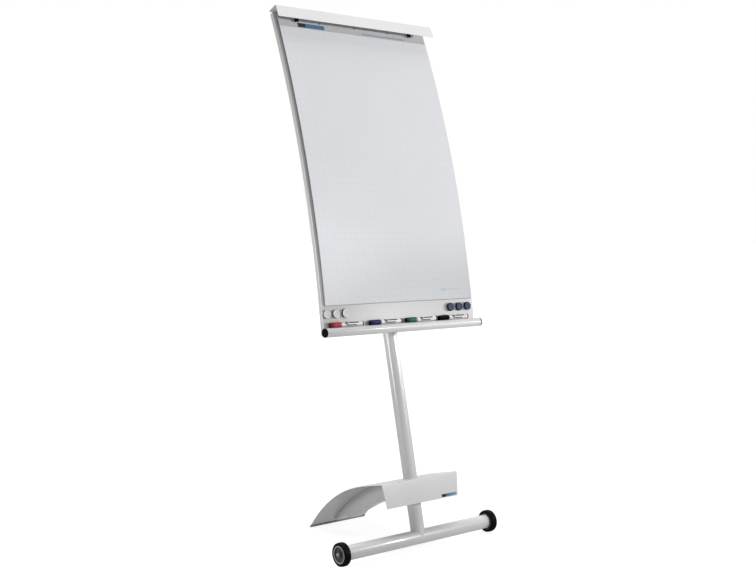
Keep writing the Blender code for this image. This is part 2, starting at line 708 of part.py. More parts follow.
def hinge_bore():
    profile = [(-0.4, 0.0), (-0.4, HINGE_BORE), (0.4, HINGE_BORE), (0.4, 0.0)]
    return helper("cut_hinge_bore", turned(profile, PIN_STEPS, ring=False), hinge_frame())


def make_leaf(side, name, bore, frame, finishes):
    """A fixed hinge leaf behind the board, curled round the pin."""
    inner = KNUCKLE_RADIUS - RAIL_SHEET
    curl = arc((0.0, 0.0), KNUCKLE_RADIUS, 0, 300, 10)
    outline = [(KNUCKLE_RADIUS, -LEAF_DROP)] + curl + [(inner, -LEAF_DROP)]
    ends = sorted((side * LEAF_START, side * LEAF_END))
    combine(place(f"rail_hinge_leaf_{name}", extruded(outline, *ends), finishes["steel"], frame), bore)


# Markers and magnets

def make_marker(start_x, name, cap_finish, finishes):
    """A marker lying in the trough between the tube and the board, with its cap to the left."""
    out = MARKER_CAP_RADIUS + GAP
    reach = TRAY_RADIUS + MARKER_CAP_RADIUS + GAP
    s = TRAY_S + math.sqrt(reach ** 2 - (TRAY_OUT - out) ** 2)
    frame = board_frame(s, out, start_x)
    shoulder = MARKER_CAP_LENGTH
    plug = MARKER_LENGTH - MARKER_PLUG_LENGTH
    bore = MARKER_NECK_RADIUS + GAP
    cap = [(0.0, 0.0), (0.0, MARKER_CAP_RADIUS - 0.003), (0.003, MARKER_CAP_RADIUS - 0.0005),
           (shoulder, MARKER_CAP_RADIUS), (shoulder, bore), (0.012, bore), (0.012, 0.0)]
    body = shoulder + GAP
    barrel = [(0.013, 0.0), (0.013, 0.003), (0.022, MARKER_NECK_RADIUS), (body, MARKER_NECK_RADIUS),
              (body, MARKER_RADIUS), (plug - GAP, MARKER_RADIUS), (plug - GAP, 0.0)]
    end = [(plug, 0.0), (plug, MARKER_RADIUS), (MARKER_LENGTH - 0.002, MARKER_RADIUS),
           (MARKER_LENGTH, MARKER_RADIUS - 0.002), (MARKER_LENGTH, 0.0)]
    place(f"marker_{name}_cap", turned(cap, SMALL_STEPS, ring=False), finishes[cap_finish], frame)
    place(f"marker_{name}_barrel", turned(barrel, SMALL_STEPS, ring=False), finishes["white_plastic"], frame)
    place(f"marker_{name}_end_plug", turned(end, SMALL_STEPS, ring=False), finishes[cap_finish], frame)


def make_magnet(x, name, surface):
    frame = board_frame(MAGNET_S, 0.0, x) @ across("out")
    face = GAP + MAGNET_THICKNESS
    profile = [(GAP, 0.0), (GAP, MAGNET_RADIUS), (face - MAGNET_CHAMFER, MAGNET_RADIUS),
               (face, MAGNET_RADIUS - MAGNET_CHAMFER), (face, 0.0)]
    place(name, turned(profile, MAGNET_STEPS, ring=False), surface, frame)


def main():
    clear_scene()
    finishes = make_finishes()
    make_wheel(-1, "left", finishes)
    make_wheel(1, "right", finishes)
    make_crossbar(finishes)
    mast = make_mast(finishes)
    make_foot_sheet(finishes)
    make_foot_spine(finishes)
    make_foot_edge_strip(finishes)
    make_board(finishes)
    make_crossmember("crossmember_lower", LOWER_MEMBER_S, finishes)
    make_crossmember("crossmember_upper", UPPER_MEMBER_S, finishes)
    make_bracket("lower_bracket", LOWER_BRACKET_ENDS, LOWER_BOLT_S, mast, finishes)
    make_bracket("upper_bracket", UPPER_BRACKET_ENDS, UPPER_MEMBER_S, mast, finishes)
    make_tray(finishes)
    make_pad(finishes)
    make_hook(-1, "left", finishes)
    make_hook(1, "right", finishes)
    make_rail(finishes)
    colours = (("red", "red_plastic"), ("blue", "blue_plastic"), ("green", "green_plastic"),
               ("black", "black_plastic"))
    for start, (name, cap_finish) in zip(MARKER_STARTS, colours):
        make_marker(start, name, cap_finish, finishes)
    for number, x in enumerate(WHITE_MAGNETS, 1):
        make_magnet(x, f"magnet_white_{number}", finishes["white_plastic"])
    for number, x in enumerate(BLUE_MAGNETS, 1):
        make_magnet(x, f"magnet_blue_{number}", finishes["magnet_blue"])


main()
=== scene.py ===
import json
import random
from math import acos, cos, degrees, hypot, pi, radians, sin, sqrt, tau

import bmesh
import bpy
from mathutils import Matrix, Vector


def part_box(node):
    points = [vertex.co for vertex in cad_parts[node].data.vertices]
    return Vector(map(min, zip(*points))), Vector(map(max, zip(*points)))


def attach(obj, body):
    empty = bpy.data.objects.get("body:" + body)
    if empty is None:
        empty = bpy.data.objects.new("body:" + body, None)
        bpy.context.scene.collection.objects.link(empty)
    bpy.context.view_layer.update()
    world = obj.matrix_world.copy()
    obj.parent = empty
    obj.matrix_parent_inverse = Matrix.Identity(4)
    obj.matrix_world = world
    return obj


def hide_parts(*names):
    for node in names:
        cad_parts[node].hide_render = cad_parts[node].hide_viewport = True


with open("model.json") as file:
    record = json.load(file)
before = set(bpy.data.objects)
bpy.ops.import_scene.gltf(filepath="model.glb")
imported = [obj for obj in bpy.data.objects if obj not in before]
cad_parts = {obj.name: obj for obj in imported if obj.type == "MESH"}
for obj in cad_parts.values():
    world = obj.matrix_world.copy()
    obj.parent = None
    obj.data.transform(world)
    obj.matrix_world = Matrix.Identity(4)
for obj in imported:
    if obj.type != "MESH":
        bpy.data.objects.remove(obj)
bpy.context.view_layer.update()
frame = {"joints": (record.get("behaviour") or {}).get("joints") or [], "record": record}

# The looks of a mobile flipchart easel. Metres, +Z up, the front faces -Y and the reader's right is +X.
# Positions come from the frame's joints and boxes and from the driving sizes below, which the CAD part also
# has. Only the paper hooks' outline is slimmer and longer here. A distance up the board's curve is called s,
# and a distance in front of its face is called out.

RECORD = frame["record"]
JOINTS = {joint["name"]: joint for joint in frame["joints"]}
BODY_OF = {node: body for body, nodes in RECORD["behaviour"]["bodies"].items() for node in nodes}
GAP = 0.0003

# Wheels and crossbar
AXLE = Vector(JOINTS["wheel_spin_right"]["pos_m"])
WHEEL_X = AXLE.x
AXLE_Y = AXLE.y
WHEEL_RADIUS = AXLE.z
WHEEL_WIDTH = 0.0236
HUB_RADIUS = 0.03
AXLE_RADIUS = 0.005
AXLE_BORE = 0.0053
TUBE_RADIUS = 0.025
TUBE_WALL = 0.002
TREAD_GROOVES = 5
TREAD_PITCH = 0.0036
TREAD_DEPTH = 0.0006
TREAD_GROOVE_HALF_WIDTH = 0.0005
CROWN_HALF_WIDTH = 0.0104
CROWN_DROP = 0.0012
HUB_SPOKES = 6
HUB_DISH_START = 0.0105
HUB_DISH_END = 0.0245
HUB_DISH_SPAN = 0.014
HUB_DISH_FACE = -0.003
HUB_LIP_RADIUS = 0.0256
SPOKE_HEIGHT = 0.003
CAP_NUT_BACK = -0.0149
CAP_NUT_FRONT = -0.0175
CAP_NUT_FLATS_RADIUS = 0.006
END_PLUG_FLANGE = 0.003
END_PLUG_DEPTH = 0.017

# Mast
MAST_LEAN = radians(12.5)
MAST_LENGTH = 1.8
MAST_STATIONS = (0.2, 0.6, 1.0, 1.4)
MAST_EDGE = 0.0005
MAST_SADDLE_RISE = 0.012
WELD_RIPPLE = 0.0002
MAST_WELD_RADIUS = 0.0016
FOOT_WELD_RADIUS = 0.0014
# How far a weld's line lies outside the mast's skin, and off the crossbar's skin or the foot's top
MAST_WELD_OUT = 0.0002
MAST_WELD_OFF = 0.0006
FOOT_WELD_OUT = 0.0004
FOOT_WELD_OFF = 0.0002

# Foot, in the mast frame
FOOT_HEIGHT = 0.204
FOOT_FRONT = 0.054
FOOT_PLATE = 0.0844
FOOT_STRAIGHT = 0.1095
FOOT_RADIUS = 0.673
FOOT_SHEET = 0.0025
FOOT_FOLD = 0.004
FOOT_FRONT_HALF_WIDTH = 0.1755
FOOT_PLATE_HALF_WIDTH = 0.1642
FOOT_REAR_HALF_WIDTH = 0.1297
FOOT_END_HEIGHT = 0.004
STRIP_LIP = 0.009
STRIP_WALL = 0.0018
MAST_HOLE_GAP = 0.0008
MAST_HOLE_ENDS = (0.15, 0.25)

# Channel under the foot: its depth below the foot's top face, at angles from the vertical
SPINE_HALF_WIDTH = 0.03
SPINE_WALL = 0.003
SPINE_FOLD = 0.006
SPINE_STATIONS = (14.0, 40.0, 13)
SPINE_DEPTHS = ((12.5, 0.064), (22.0, 0.064), (31.7, 0.061), (36.5, 0.057), (40.6, 0.053), (41.6, 0.036),
                (44.5, 0.025), (47.4, 0.015))

# Board
BOARD_FOOT = Vector((0.0, AXLE_Y + 0.0816, 0.7636))
BOARD_LEAN = radians(7.12)
BOARD_RADIUS = 4.284
BOARD_LENGTH = 1.159
BOARD_HALF_WIDTH = 0.3515
BOARD_SHEET = 0.0015
BOARD_FLANGE = 0.0162
BOARD_EDGE_RADIUS = 0.003

# Supports behind the board
CROSSMEMBER_HALF_LENGTH = 0.345
CROSSMEMBER_HEIGHT = 0.06
CROSSMEMBER_DEPTH = 0.014
CROSSMEMBER_FOLD = 0.003
LOWER_MEMBER_S = 0.085
UPPER_MEMBER_S = 0.96
LOWER_BRACKET_ENDS = (-0.005, 0.125)
UPPER_BRACKET_ENDS = (0.915, 1.005)
LOWER_BOLT_S = 0.06
BRACKET_WALL = 0.003
BRACKET_REACH = 0.012
BRACKET_FOLD = 0.005
BOLT_HEAD = 0.0075
BOLT_HEAD_DEPTH = 0.005
WASHER_THICKNESS = 0.0012
WASHER_RIM = 0.002

# Marker tube
TRAY_S = 0.0105
TRAY_OUT = 0.016
TRAY_RADIUS = 0.0155
TRAY_WALL = 0.0015
TRAY_HALF_LENGTH = 0.3584
TRAY_CAP = 0.0034
CAP_OVERLAP = 0.0018
TRAY_SCREW_X = 0.25
TRAY_SCREW_RADIUS = 0.003

# Paper pad
PAD_HALF_WIDTH = 0.34
PAD_BOTTOM_S = 0.1008
PAD_TOP_S = 1.155
PAD_BACK = 0.002
CARD_SHEET = 0.0012
BLOCK_SHEET = 0.0025
BLOCK_LAYERS = 9
HEADER_BOTTOM_S = 1.106
HEADER_SHEET = 0.0006
TOP_SHEET = 0.0003
PAGE_SHORT = 0.0016
PAGE_SWELL = 0.0011
SHEET_SEED = 7
SHEET_STEP_IN = (0.0, 0.0006)
SHEET_STEP_UP = (0.0012, 0.0022)
BUNDLE_GAP = 0.00002
HOLE_S = 1.1345
HOLE_RADIUS = 0.0042
HOLE_DROP = 0.0006
HOLE_PLACES = (-0.263, -0.16, 0.0, 0.16, 0.263)
GRID_SPACING = 0.025
GRID_LINE = 0.0007

# Pad hooks
HOOK_X = 0.263
HOOK_PIN_RADIUS = 0.003
HOOK_PIN_BACK = 0.016
THREAD_START = -0.0152
THREAD_END = -0.002
THREAD_PITCH = 0.0008
THREAD_DEPTH = 0.0004
HOOK_FORK_OUT = 0.0098
HOOK_FORK_DEPTH = 0.0036
HOOK_SLOT_HALF_LENGTH = 0.03
HOOK_SLOT_HALF_HEIGHT = 0.0036
HOOK_HALF_WIDTH = 0.0075
HOOK_NOTCH_HALF_WIDTH = 0.0024
HOOK_PRONG_END = -0.01
HOOK_PRONG_TAPER = 0.0015
HOOK_CROWN_UP = 0.004
HOOK_NOTCH_TOP = -0.0036
KNOB_RADIUS = 0.011
KNOB_BACK = 0.002
KNOB_DEPTH = 0.011
KNOB_FLUTES = 20
KNOB_FLUTE = 0.0008
KNOB_FLUTES_RADIUS = 0.0085

# Clamp rail
RAIL_HALF_LENGTH = 0.3615
RAIL_HINGE_S = 1.1625
RAIL_HINGE_BACK = 0.001
RAIL_FRONT = 0.041
RAIL_DROP = 0.0416
RAIL_SHEET = 0.0015
RAIL_FOLD = 0.003
KNUCKLE_RADIUS = 0.003
HINGE_PIN_RADIUS = 0.0015
HINGE_PIN_INSET = 0.004
RAIL_CURL_END = -0.0034
RAIL_NOTCH_FRONT = -0.0036
RAIL_NOTCH_REACH = 0.006
LEAF_START = 0.12
LEAF_END = 0.2
LEAF_DROP = 0.032

# Markers and magnets
MARKER_LENGTH = 0.145
MARKER_CAP_LENGTH = 0.049
MARKER_CAP_RADIUS = 0.0095
MARKER_RADIUS = 0.0086
MARKER_NECK_RADIUS = 0.0065
MARKER_PLUG_LENGTH = 0.006
CAP_RIBS = 16
CAP_RIB_DEPTH = 0.0005
CAP_RIB_ENDS = (0.004, 0.0162)
CAP_RIB_RADIUS = 0.008
MAGNET_RADIUS = 0.015
MAGNET_THICKNESS = 0.008
MAGNET_S = 0.0725
MAGNET_RIM = 0.001
MAGNET_FACE_DEPTH = 0.0004

# Plain marks where the real one has print, each as its limits across and along its surface
PAGE_MARK = ((0.19, 0.288), (0.1365, 0.1395))
PAGE_TAB = ((0.19, 0.214), (0.133, 0.143))
HEADER_BAR = ((-0.26, -0.142), (1.1085, 1.1255))
HEADER_BAR_SPLIT = -0.226
HEADER_LINE = ((0.03, 0.236), (1.111, 1.1155))
MARKER_BARS = (((0.063, 0.076), (-0.0005, 0.0078)), ((0.079, 0.122), (0.0028, 0.007)),
               ((0.067, 0.112), (-0.005, -0.0014)))
LABEL_LEFT = 0.088
LABEL_SPLIT = 0.106
LABEL_RIGHT = 0.158
LABEL_LOW = 0.123
LABEL_HIGH = 0.133
LABEL_FILM = 0.0002

# Where along a marker the painted shade on its ribbed grip and on its end plug fades
CAP_GRIP_SHADE_FADE = (0.003, 0.019)
CAP_PLUG_SHADE_FADE = (0.12, 0.135)

# How finely things are built
TUBE_STEPS = 96
ROUND_STEPS = 64
SMALL_STEPS = 40
FACETED_STEPS = 72
HUB_STEPS = 144
WELD_STEPS = 120
WELD_SIDES = 10
BOARD_STATIONS = 72
SHEET_STATIONS = 64
PAGE_COLUMNS = 24
SHARP_ANGLE = radians(32)
SOFT_ANGLE = radians(40)
SIDES = ((-1, "left"), (1, "right"))

# Studio
CAMERA_PLACE = (-2.6384, AXLE_Y - 2.9698, 1.1322)
CAMERA_DIP = radians(2.873)
CAMERA_HEADING = radians(-39.56)
CAMERA_LENS = 54.35
CAMERA_SENSOR = 36.0
# Each softbox: its name, place, target, power, cone in degrees, radius, and how soft its cone's edge is
SOFTBOXES = (
    ("key_light", (18.2, -8.35, 2.4), (0.0, -0.05, 1.6), 24300.0, 5.0, 0.35, 0.15),
    ("low_light", (2.1, -3.1, 1.67), (0.0, -0.1, 0.28), 335.0, 17.0, 0.13, 0.4),
    ("tray_light", (-1.3, -2.3, 1.05), (-0.38, -0.15, 0.9), 75.0, 13.0, 0.25, 1.0),
    ("left_light", (-6.0, 0.4, 1.45), (0.0, 0.05, 1.0), 760.0, 20.0, 1.0, 0.4),
)
TOP_LIGHT_DIRECTION = (0.0, 0.27, 1.0)
TOP_LIGHT_STRENGTH = 2.85
TOP_LIGHT_SPREAD = radians(60.0)
# How bright the white backdrop is as a light, and the floor as seen and as a light
WORLD_FILL = 0.12
FLOOR_GLOW = 0.86
FLOOR_BOUNCE = 0.37
FLOOR_SIZE = 60.0


# Outlines and meshes

def steps_between(start, end, count):
    return [start + (end - start) * index / count for index in range(count + 1)]


def round_angles(count):
    return [tau * index / count for index in range(count)]


def arc(centre, radius, start, end, steps):
    """Points of a circular arc, with angles in degrees from the first axis towards the second."""
    angles = [radians(angle) for angle in steps_between(start, end, steps)]
    return [(centre[0] + radius * cos(angle), centre[1] + radius * sin(angle)) for angle in angles]


def rounded(points, radius, steps=3, closed=True):
    """Round the corners of an outline. An open outline keeps its two ends."""
    result = []
    for index, point in enumerate(points):
        if not closed and index in (0, len(points) - 1):
            result.append(tuple(point))
            continue
        corner = Vector(point)
        before = Vector(points[index - 1]) - corner
        after = Vector(points[(index + 1) % len(points)]) - corner
        reach = min(radius, 0.45 * before.length, 0.45 * after.length)
        start = corner + before.normalized() * reach
        end = corner + after.normalized() * reach
        for share in steps_between(0.0, 1.0, steps):
            bend = start * (1 - share) ** 2 + corner * 2 * share * (1 - share) + end * share ** 2
            result.append(tuple(bend))
    return result


def channel(half, mouth, web, wall, fold, inner_steps=6):
    """(across, depth) outline of a folded U: its web lies at one depth, and its legs reach to its mouth."""
    side = 1 if web > mouth else -1
    quarter, end = 180 - 90 * side, 180 - 180 * side
    outline = [(-half, mouth)] + arc((fold - half, web - side * fold), fold, 180, quarter, 6)
    outline += arc((half - fold, web - side * fold), fold, quarter, end, 6)
    outline += [(half, mouth), (half - wall, mouth)]
    fold = max(0.0002, fold - wall)
    across, depth = half - wall - fold, web - side * wall - side * fold
    outline += arc((across, depth), fold, end, quarter, inner_steps)
    return outline + arc((-across, depth), fold, quarter, 180, inner_steps) + [(wall - half, mouth)]


def loft(rings, closed_loop=False, flat=None):
    """Skin rings of equally many points. An optional flat gives each point a place on a flat sheet, as UVs."""
    mesh = bmesh.new()
    layers = [[mesh.verts.new(point) for point in ring] for ring in rings]
    pairs = list(zip(layers, layers[1:]))
    if closed_loop:
        pairs.append((layers[-1], layers[0]))
    for near, far in pairs:
        for index, point in enumerate(near):
            following = (index + 1) % len(near)
            mesh.faces.new((point, near[following], far[following], far[index]))
    if not closed_loop:
        mesh.faces.new(list(reversed(layers[0])))
        mesh.faces.new(layers[-1])
    if flat:
        places = {}
        for layer, row in zip(layers, flat):
            places.update(zip(layer, row))
        uv = mesh.loops.layers.uv.new("flat")
        for face in mesh.faces:
            for corner in face.loops:
                corner[uv].uv = places[corner.vert]
    bmesh.ops.recalc_face_normals(mesh, faces=mesh.faces)
    return mesh


def turned(profile, steps=ROUND_STEPS, relief=None):
    """Turn (x, radius) points about X. A profile that starts off the axis closes on itself, as a ring.
    A relief moves a point by its angle: it takes and returns its (x, radius)."""
    mesh = bmesh.new()
    columns = []
    for angle in round_angles(steps):
        column = []
        for along, radius in profile:
            if relief:
                along, radius = relief(angle, along, radius)
            column.append(mesh.verts.new((along, radius * cos(angle), radius * sin(angle))))
        columns.append(column)
    last = len(profile) if profile[0][1] > 0.0 else len(profile) - 1
    for column, beside in zip(columns, columns[1:] + columns[:1]):
        for index in range(last):
            above = (index + 1) % len(profile)
            mesh.faces.new((column[index], column[above], beside[above], beside[index]))
    bmesh.ops.remove_doubles(mesh, verts=mesh.verts, dist=1e-7)
    bmesh.ops.recalc_face_normals(mesh, faces=mesh.faces)
    return mesh


def extruded(outline, start_x, end_x):
    """Extrude a (y, z) outline along X."""
    return loft([[(x, y, z) for y, z in outline] for x in (start_x, end_x)])


def rod(start, end, radius):
    """The profile of a plain rod."""
    return [(start, 0.0), (start, radius), (end, radius), (end, 0.0)]


def open_tube(half, radius, wall, edge):
    """A tube along X, open at both ends, with its edges rounded."""
    section = [(-half, radius), (half, radius), (half, radius - wall), (-half, radius - wall)]
    return turned(rounded(section, edge), TUBE_STEPS)


def mirrored(profile, side):
    """The profile itself on side 1, and its mirror image on side -1."""
    return [(side * along, radius) for along, radius in profile]


def merged(meshes):
    """One mesh that holds several separate closed shells."""
    whole = bmesh.new()
    for mesh in meshes:
        data = bpy.data.meshes.new("shell")
        mesh.to_mesh(data)
        mesh.free()
        whole.from_mesh(data)
        bpy.data.meshes.remove(data)
    return whole


def moved(mesh, matrix):
    bmesh.ops.transform(mesh, matrix=matrix, verts=mesh.verts)
    return mesh


# Pieces

def link(obj):
    bpy.context.scene.collection.objects.link(obj)


def new_object(name, mesh, surface, place):
    data = bpy.data.meshes.new(name)
    mesh.to_mesh(data)
    mesh.free()
    if surface:
        data.materials.append(surface)
    obj = bpy.data.objects.new(name, data)
    link(obj)
    obj.matrix_world = place
    return obj


def cut(obj, tools):
    """Take closed tool meshes, built in the object's own frame, out of it."""
    for mesh in tools:
        tool = new_object("cutting_tool", mesh, None, obj.matrix_world)
        modifier = obj.modifiers.new("cut", "BOOLEAN")
        modifier.object = tool
        modifier.solver = "EXACT"
        bpy.context.view_layer.update()
        graph = bpy.context.evaluated_depsgraph_get()
        whole = bpy.data.meshes.new_from_object(obj.evaluated_get(graph))
        obj.modifiers.clear()
        obj.data = whole
        bpy.data.objects.remove(tool)


def soften(obj, width, segments=2):
    """Round every edge that turns by more than SOFT_ANGLE."""
    modifier = obj.modifiers.new("soft_edges", "BEVEL")
    modifier.width = width
    modifier.segments = segments
    modifier.limit_method = "ANGLE"
    modifier.angle_limit = SOFT_ANGLE
    modifier.harden_normals = True


def piece(node, mesh, surface, place=None, cuts=(), soft=0.0, settled=False):
    """A finer piece that stands for a CAD node: it rides on the node's body."""
    obj = detail(f"{node}_visual", mesh, surface, BODY_OF[node], place, cuts, soft, settled)
    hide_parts(node)
    return obj


def detail(name, mesh, surface, body, place=None, cuts=(), soft=0.0, settled=False):
    """A finished piece: cut, smoothed and with its sharp edges softened, riding on a body. A settled piece
    has its place moved into its mesh, so that its box follows the world's axes."""
    place = place or Matrix.Identity(4)
    obj = new_object(name, mesh, SURFACES[surface], place)
    if cuts:
        cut(obj, cuts)
    if settled:
        obj.data.transform(place)
        obj.matrix_world = Matrix.Identity(4)
    obj.data.shade_smooth()
    obj.data.set_sharp_from_angle(angle=SHARP_ANGLE)
    if soft:
        soften(obj, soft)
    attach(obj, body)
    return obj


def repaint(obj, surface, chosen):
    """Give the faces whose centres are chosen a second surface."""
    obj.data.materials.append(SURFACES[surface])
    for face in obj.data.polygons:
        if chosen(face.center):
            face.material_index = 1


# Frames

def at(x=0.0, y=0.0, z=0.0):
    return Matrix.Translation((x, y, z))


def turn(angle, axis):
    """A rotation by an angle in degrees."""
    return Matrix.Rotation(radians(angle), 4, axis)


OUT = turn(-90, "Z")
UP = turn(-90, "Y")


def mast_frame():
    return at(0.0, AXLE_Y, WHEEL_RADIUS) @ Matrix.Rotation(-MAST_LEAN, 4, "X")


def board_frame(s, out=0.0, x=0.0):
    """The frame at a place on the board, leaning with its face there."""
    lean = BOARD_LEAN + s / BOARD_RADIUS
    back = (cos(BOARD_LEAN) - cos(lean)) * BOARD_RADIUS
    up = (sin(lean) - sin(BOARD_LEAN)) * BOARD_RADIUS
    foot = BOARD_FOOT + Vector((x, back, up))
    return Matrix.Translation(foot) @ Matrix.Rotation(-lean, 4, "X") @ at(y=-out)


def on_board(x, s, out):
    return board_frame(s, out, x).translation


# Material nodes

class Nodes:
    """Adds shader nodes to one tree, and links or sets their inputs."""

    def __init__(self, tree):
        self.tree = tree

    def feed(self, socket, value):
        if isinstance(value, bpy.types.NodeSocket):
            self.tree.links.new(value, socket)
        else:
            socket.default_value = value

    def add(self, kind, settings=None, **inputs):
        """Add a shader node, set its settings, and feed its inputs by name."""
        node = self.tree.nodes.new("ShaderNode" + kind)
        for name, value in (settings or {}).items():
            setattr(node, name, value)
        for name, value in inputs.items():
            self.feed(node.inputs[name.replace("_", " ")], value)
        return node

    def calc(self, operation, first, second, third=0.0):
        node = self.add("Math", {"operation": operation})
        for socket, value in zip(node.inputs, (first, second, third)):
            self.feed(socket, value)
        return node.outputs[0]

    def remap(self, value, low, high, from_low=0.0, from_high=1.0):
        ends = {"From_Min": from_low, "From_Max": from_high, "To_Min": low, "To_Max": high}
        return self.add("MapRange", Value=value, **ends).outputs["Result"]

    def mixed(self, share, first, second):
        """Blend two colours."""
        return self.add("Mix", {"data_type": "RGBA"}, Factor=share, A=first, B=second).outputs["Result"]


class Look(Nodes):
    """A Principled material in the making. Its patterns lie in the space of the object that wears it."""

    def __init__(self, name, metallic=0.0, specular=0.5, coat=0.0, coat_roughness=0.1):
        self.material = bpy.data.materials.new(name)
        self.material.use_nodes = True
        super().__init__(self.material.node_tree)
        self.sockets = self.tree.nodes["Principled BSDF"].inputs
        self.sockets["Metallic"].default_value = metallic
        self.sockets["Specular IOR Level"].default_value = specular
        self.sockets["Coat Weight"].default_value = coat
        self.sockets["Coat Roughness"].default_value = coat_roughness
        self.place = self.add("TexCoord").outputs["Object"]

    def noise(self, scale, detail_level=2.0, roughness=0.5, place=None):
        place = place or self.place
        node = self.add("TexNoise", Vector=place, Scale=scale, Detail=detail_level, Roughness=roughness)
        return node.outputs["Fac"]

    def cloud(self, scale, detail_level):
        """Noise spread out to run from 0 to 1."""
        return self.remap(self.noise(scale, detail_level), 0.0, 1.0, 0.35, 0.65)

    def axes(self):
        return self.add("SeparateXYZ", Vector=self.place).outputs

    def flat_axes(self):
        """The places across and along a sheet that curved_sheet made."""
        flat = self.add("UVMap", {"uv_map": "flat"}).outputs["UV"]
        axes = self.add("SeparateXYZ", Vector=flat).outputs
        return axes["X"], axes["Y"]

    def between(self, value, low, high):
        """1 where the value lies between two limits."""
        return self.calc("COMPARE", value, (low + high) / 2, (high - low) / 2)

    def in_boxes(self, across, along, *boxes):
        """1 inside any of the boxes, each given as its limits across and along."""
        shares = [self.calc("MULTIPLY", self.between(across, *wide), self.between(along, *tall))
                  for wide, tall in boxes]
        whole = shares[0]
        for share in shares[1:]:
            whole = self.calc("MAXIMUM", whole, share)
        return whole

    def bump(self, height, strength, distance, below=None):
        """Add relief, on top of the relief below it where there is one."""
        node = self.add("Bump", Height=height, Strength=strength, Distance=distance)
        if below:
            self.feed(node.inputs["Normal"], below)
        self.feed(self.sockets["Normal"], node.outputs["Normal"])
        return node.outputs["Normal"]

    def fibres(self, strength):
        fine = self.noise(1500.0, 3.0)
        cloudy = self.noise(180.0, 4.0, 0.6)
        self.bump(self.calc("MULTIPLY_ADD", cloudy, 0.6, fine), strength, 0.00012)

    def finish(self, colour, roughness):
        self.feed(self.sockets["Base Color"], colour)
        self.feed(self.sockets["Roughness"], roughness)
        return self.material


def rgb(red, green, blue):
    return (red, green, blue, 1.0)


def grey(level):
    return rgb(level, level, level)


def scaled(colour, share):
    return rgb(*(share * level for level in colour))


# Materials

def powder_coat(name, light, dark, roughness, wave=0.012):
    """Semi-gloss white paint: fine orange peel, a slow change of tone, and a little dust."""
    look = Look(name, coat=0.5, coat_roughness=0.06)
    colour = look.mixed(look.cloud(5.0, 4.0), dark, light)
    specks = look.remap(look.noise(420.0, 1.0), 0.0, 0.06, 0.7, 0.78)
    slow = look.bump(look.noise(22.0), wave, 0.0008)
    look.bump(look.noise(650.0), 0.22, 0.00025, slow)
    rough = look.remap(look.noise(60.0, 3.0), roughness - 0.01, roughness + 0.02)
    return look.finish(look.mixed(specks, colour, grey(0.45)), rough)


def moulded_plastic(name, colour, roughness, grain=0.2, gloss=0.5):
    """Moulded plastic: fine spark-eroded grain and uneven gloss."""
    look = Look(name, specular=gloss)
    red, green, blue = colour
    darker = rgb(red * 0.82, green * 0.82, blue * 0.84)
    look.bump(look.noise(1800.0), grain, 0.00015)
    rough = look.remap(look.noise(160.0, 3.0), roughness - 0.06, roughness + 0.08)
    return look.finish(look.mixed(look.cloud(45.0, 3.0), darker, rgb(*colour)), rough)


def cap_plastic(name, colour, gloss=0.15):
    """Glossy coloured plastic with painted shade: darker on a marker cap's ribbed grip and over its end plug.
    """
    look = Look(name, specular=gloss)
    along = look.axes()["X"]
    # Painted shade: the colour fades to a dark copy towards the cap's ribbed grip and over the end plug.
    painted_cap_shade = look.remap(along, 0.0, 1.0, *CAP_GRIP_SHADE_FADE)
    painted_cap_shade = look.calc("MULTIPLY", painted_cap_shade, look.remap(along, 1.0, 0.12, *CAP_PLUG_SHADE_FADE))
    shade = look.remap(look.noise(60.0, 3.0), 0.0, 0.25)
    lit = look.mixed(shade, rgb(*colour), scaled(colour, 0.8))
    look.bump(look.noise(1500.0), 0.06, 0.0001)
    return look.finish(look.mixed(painted_cap_shade, scaled(colour, 0.15), lit), look.remap(shade, 0.22, 0.34, 0.0, 0.25))


def rubber_surface(name, deep, dusty):
    """Dull rubber with dust in its pores."""
    look = Look(name, specular=0.06)
    dust = look.remap(look.noise(55.0, 5.0, 0.65), 0.0, 0.8, 0.5, 0.75)
    look.bump(look.noise(900.0, 3.0), 0.35, 0.0003)
    return look.finish(look.mixed(dust, deep, dusty), look.remap(dust, 0.5, 0.78))


def plated_steel(name, dull, bright):
    """Plated steel with fine drawn lines round its X axis."""
    look = Look(name, metallic=1.0)
    stretched = look.add("Mapping", Vector=look.place, Scale=(1.0, 0.06, 0.06)).outputs[0]
    cloud = look.noise(70.0, 3.0)
    look.bump(look.noise(2600.0, place=stretched), 0.15, 0.0001)
    return look.finish(look.mixed(cloud, dull, bright), look.remap(cloud, 0.24, 0.4))


def grid_lines(look, value):
    """1 on the thin lines of a square grid along one direction, fading in and out as a print does."""
    offset = look.calc("PINGPONG", value, GRID_SPACING / 2)
    return look.remap(offset, 1.0, 0.0, 0.0, GRID_LINE)


def page_paper():
    """White chart paper with a faint printed grid and a small plain mark in the lower right corner."""
    look = Look("page_paper")
    across, along = look.flat_axes()
    lines = look.calc("MAXIMUM", grid_lines(look, across), grid_lines(look, along))
    tone = look.cloud(6.0, 4.0)
    paper = look.mixed(tone, rgb(0.64, 0.645, 0.675), rgb(0.665, 0.67, 0.7))
    gridded = look.mixed(look.calc("MULTIPLY", lines, 0.34), paper, rgb(0.42, 0.44, 0.48))
    marks = look.calc("MULTIPLY", look.in_boxes(across, along, PAGE_MARK, PAGE_TAB), 0.55)
    look.fibres(0.35)
    return look.finish(look.mixed(marks, gridded, rgb(0.33, 0.52, 0.68)), look.remap(tone, 0.8, 0.9))


def fibrous(name, dark, light, roughness, strength, *pattern):
    """Plain paper or card, such as the cut edges of many sheets, or grey board with flecks."""
    look = Look(name)
    tone = look.noise(*pattern)
    look.fibres(strength)
    return look.finish(look.mixed(tone, dark, light), look.remap(tone, *roughness))


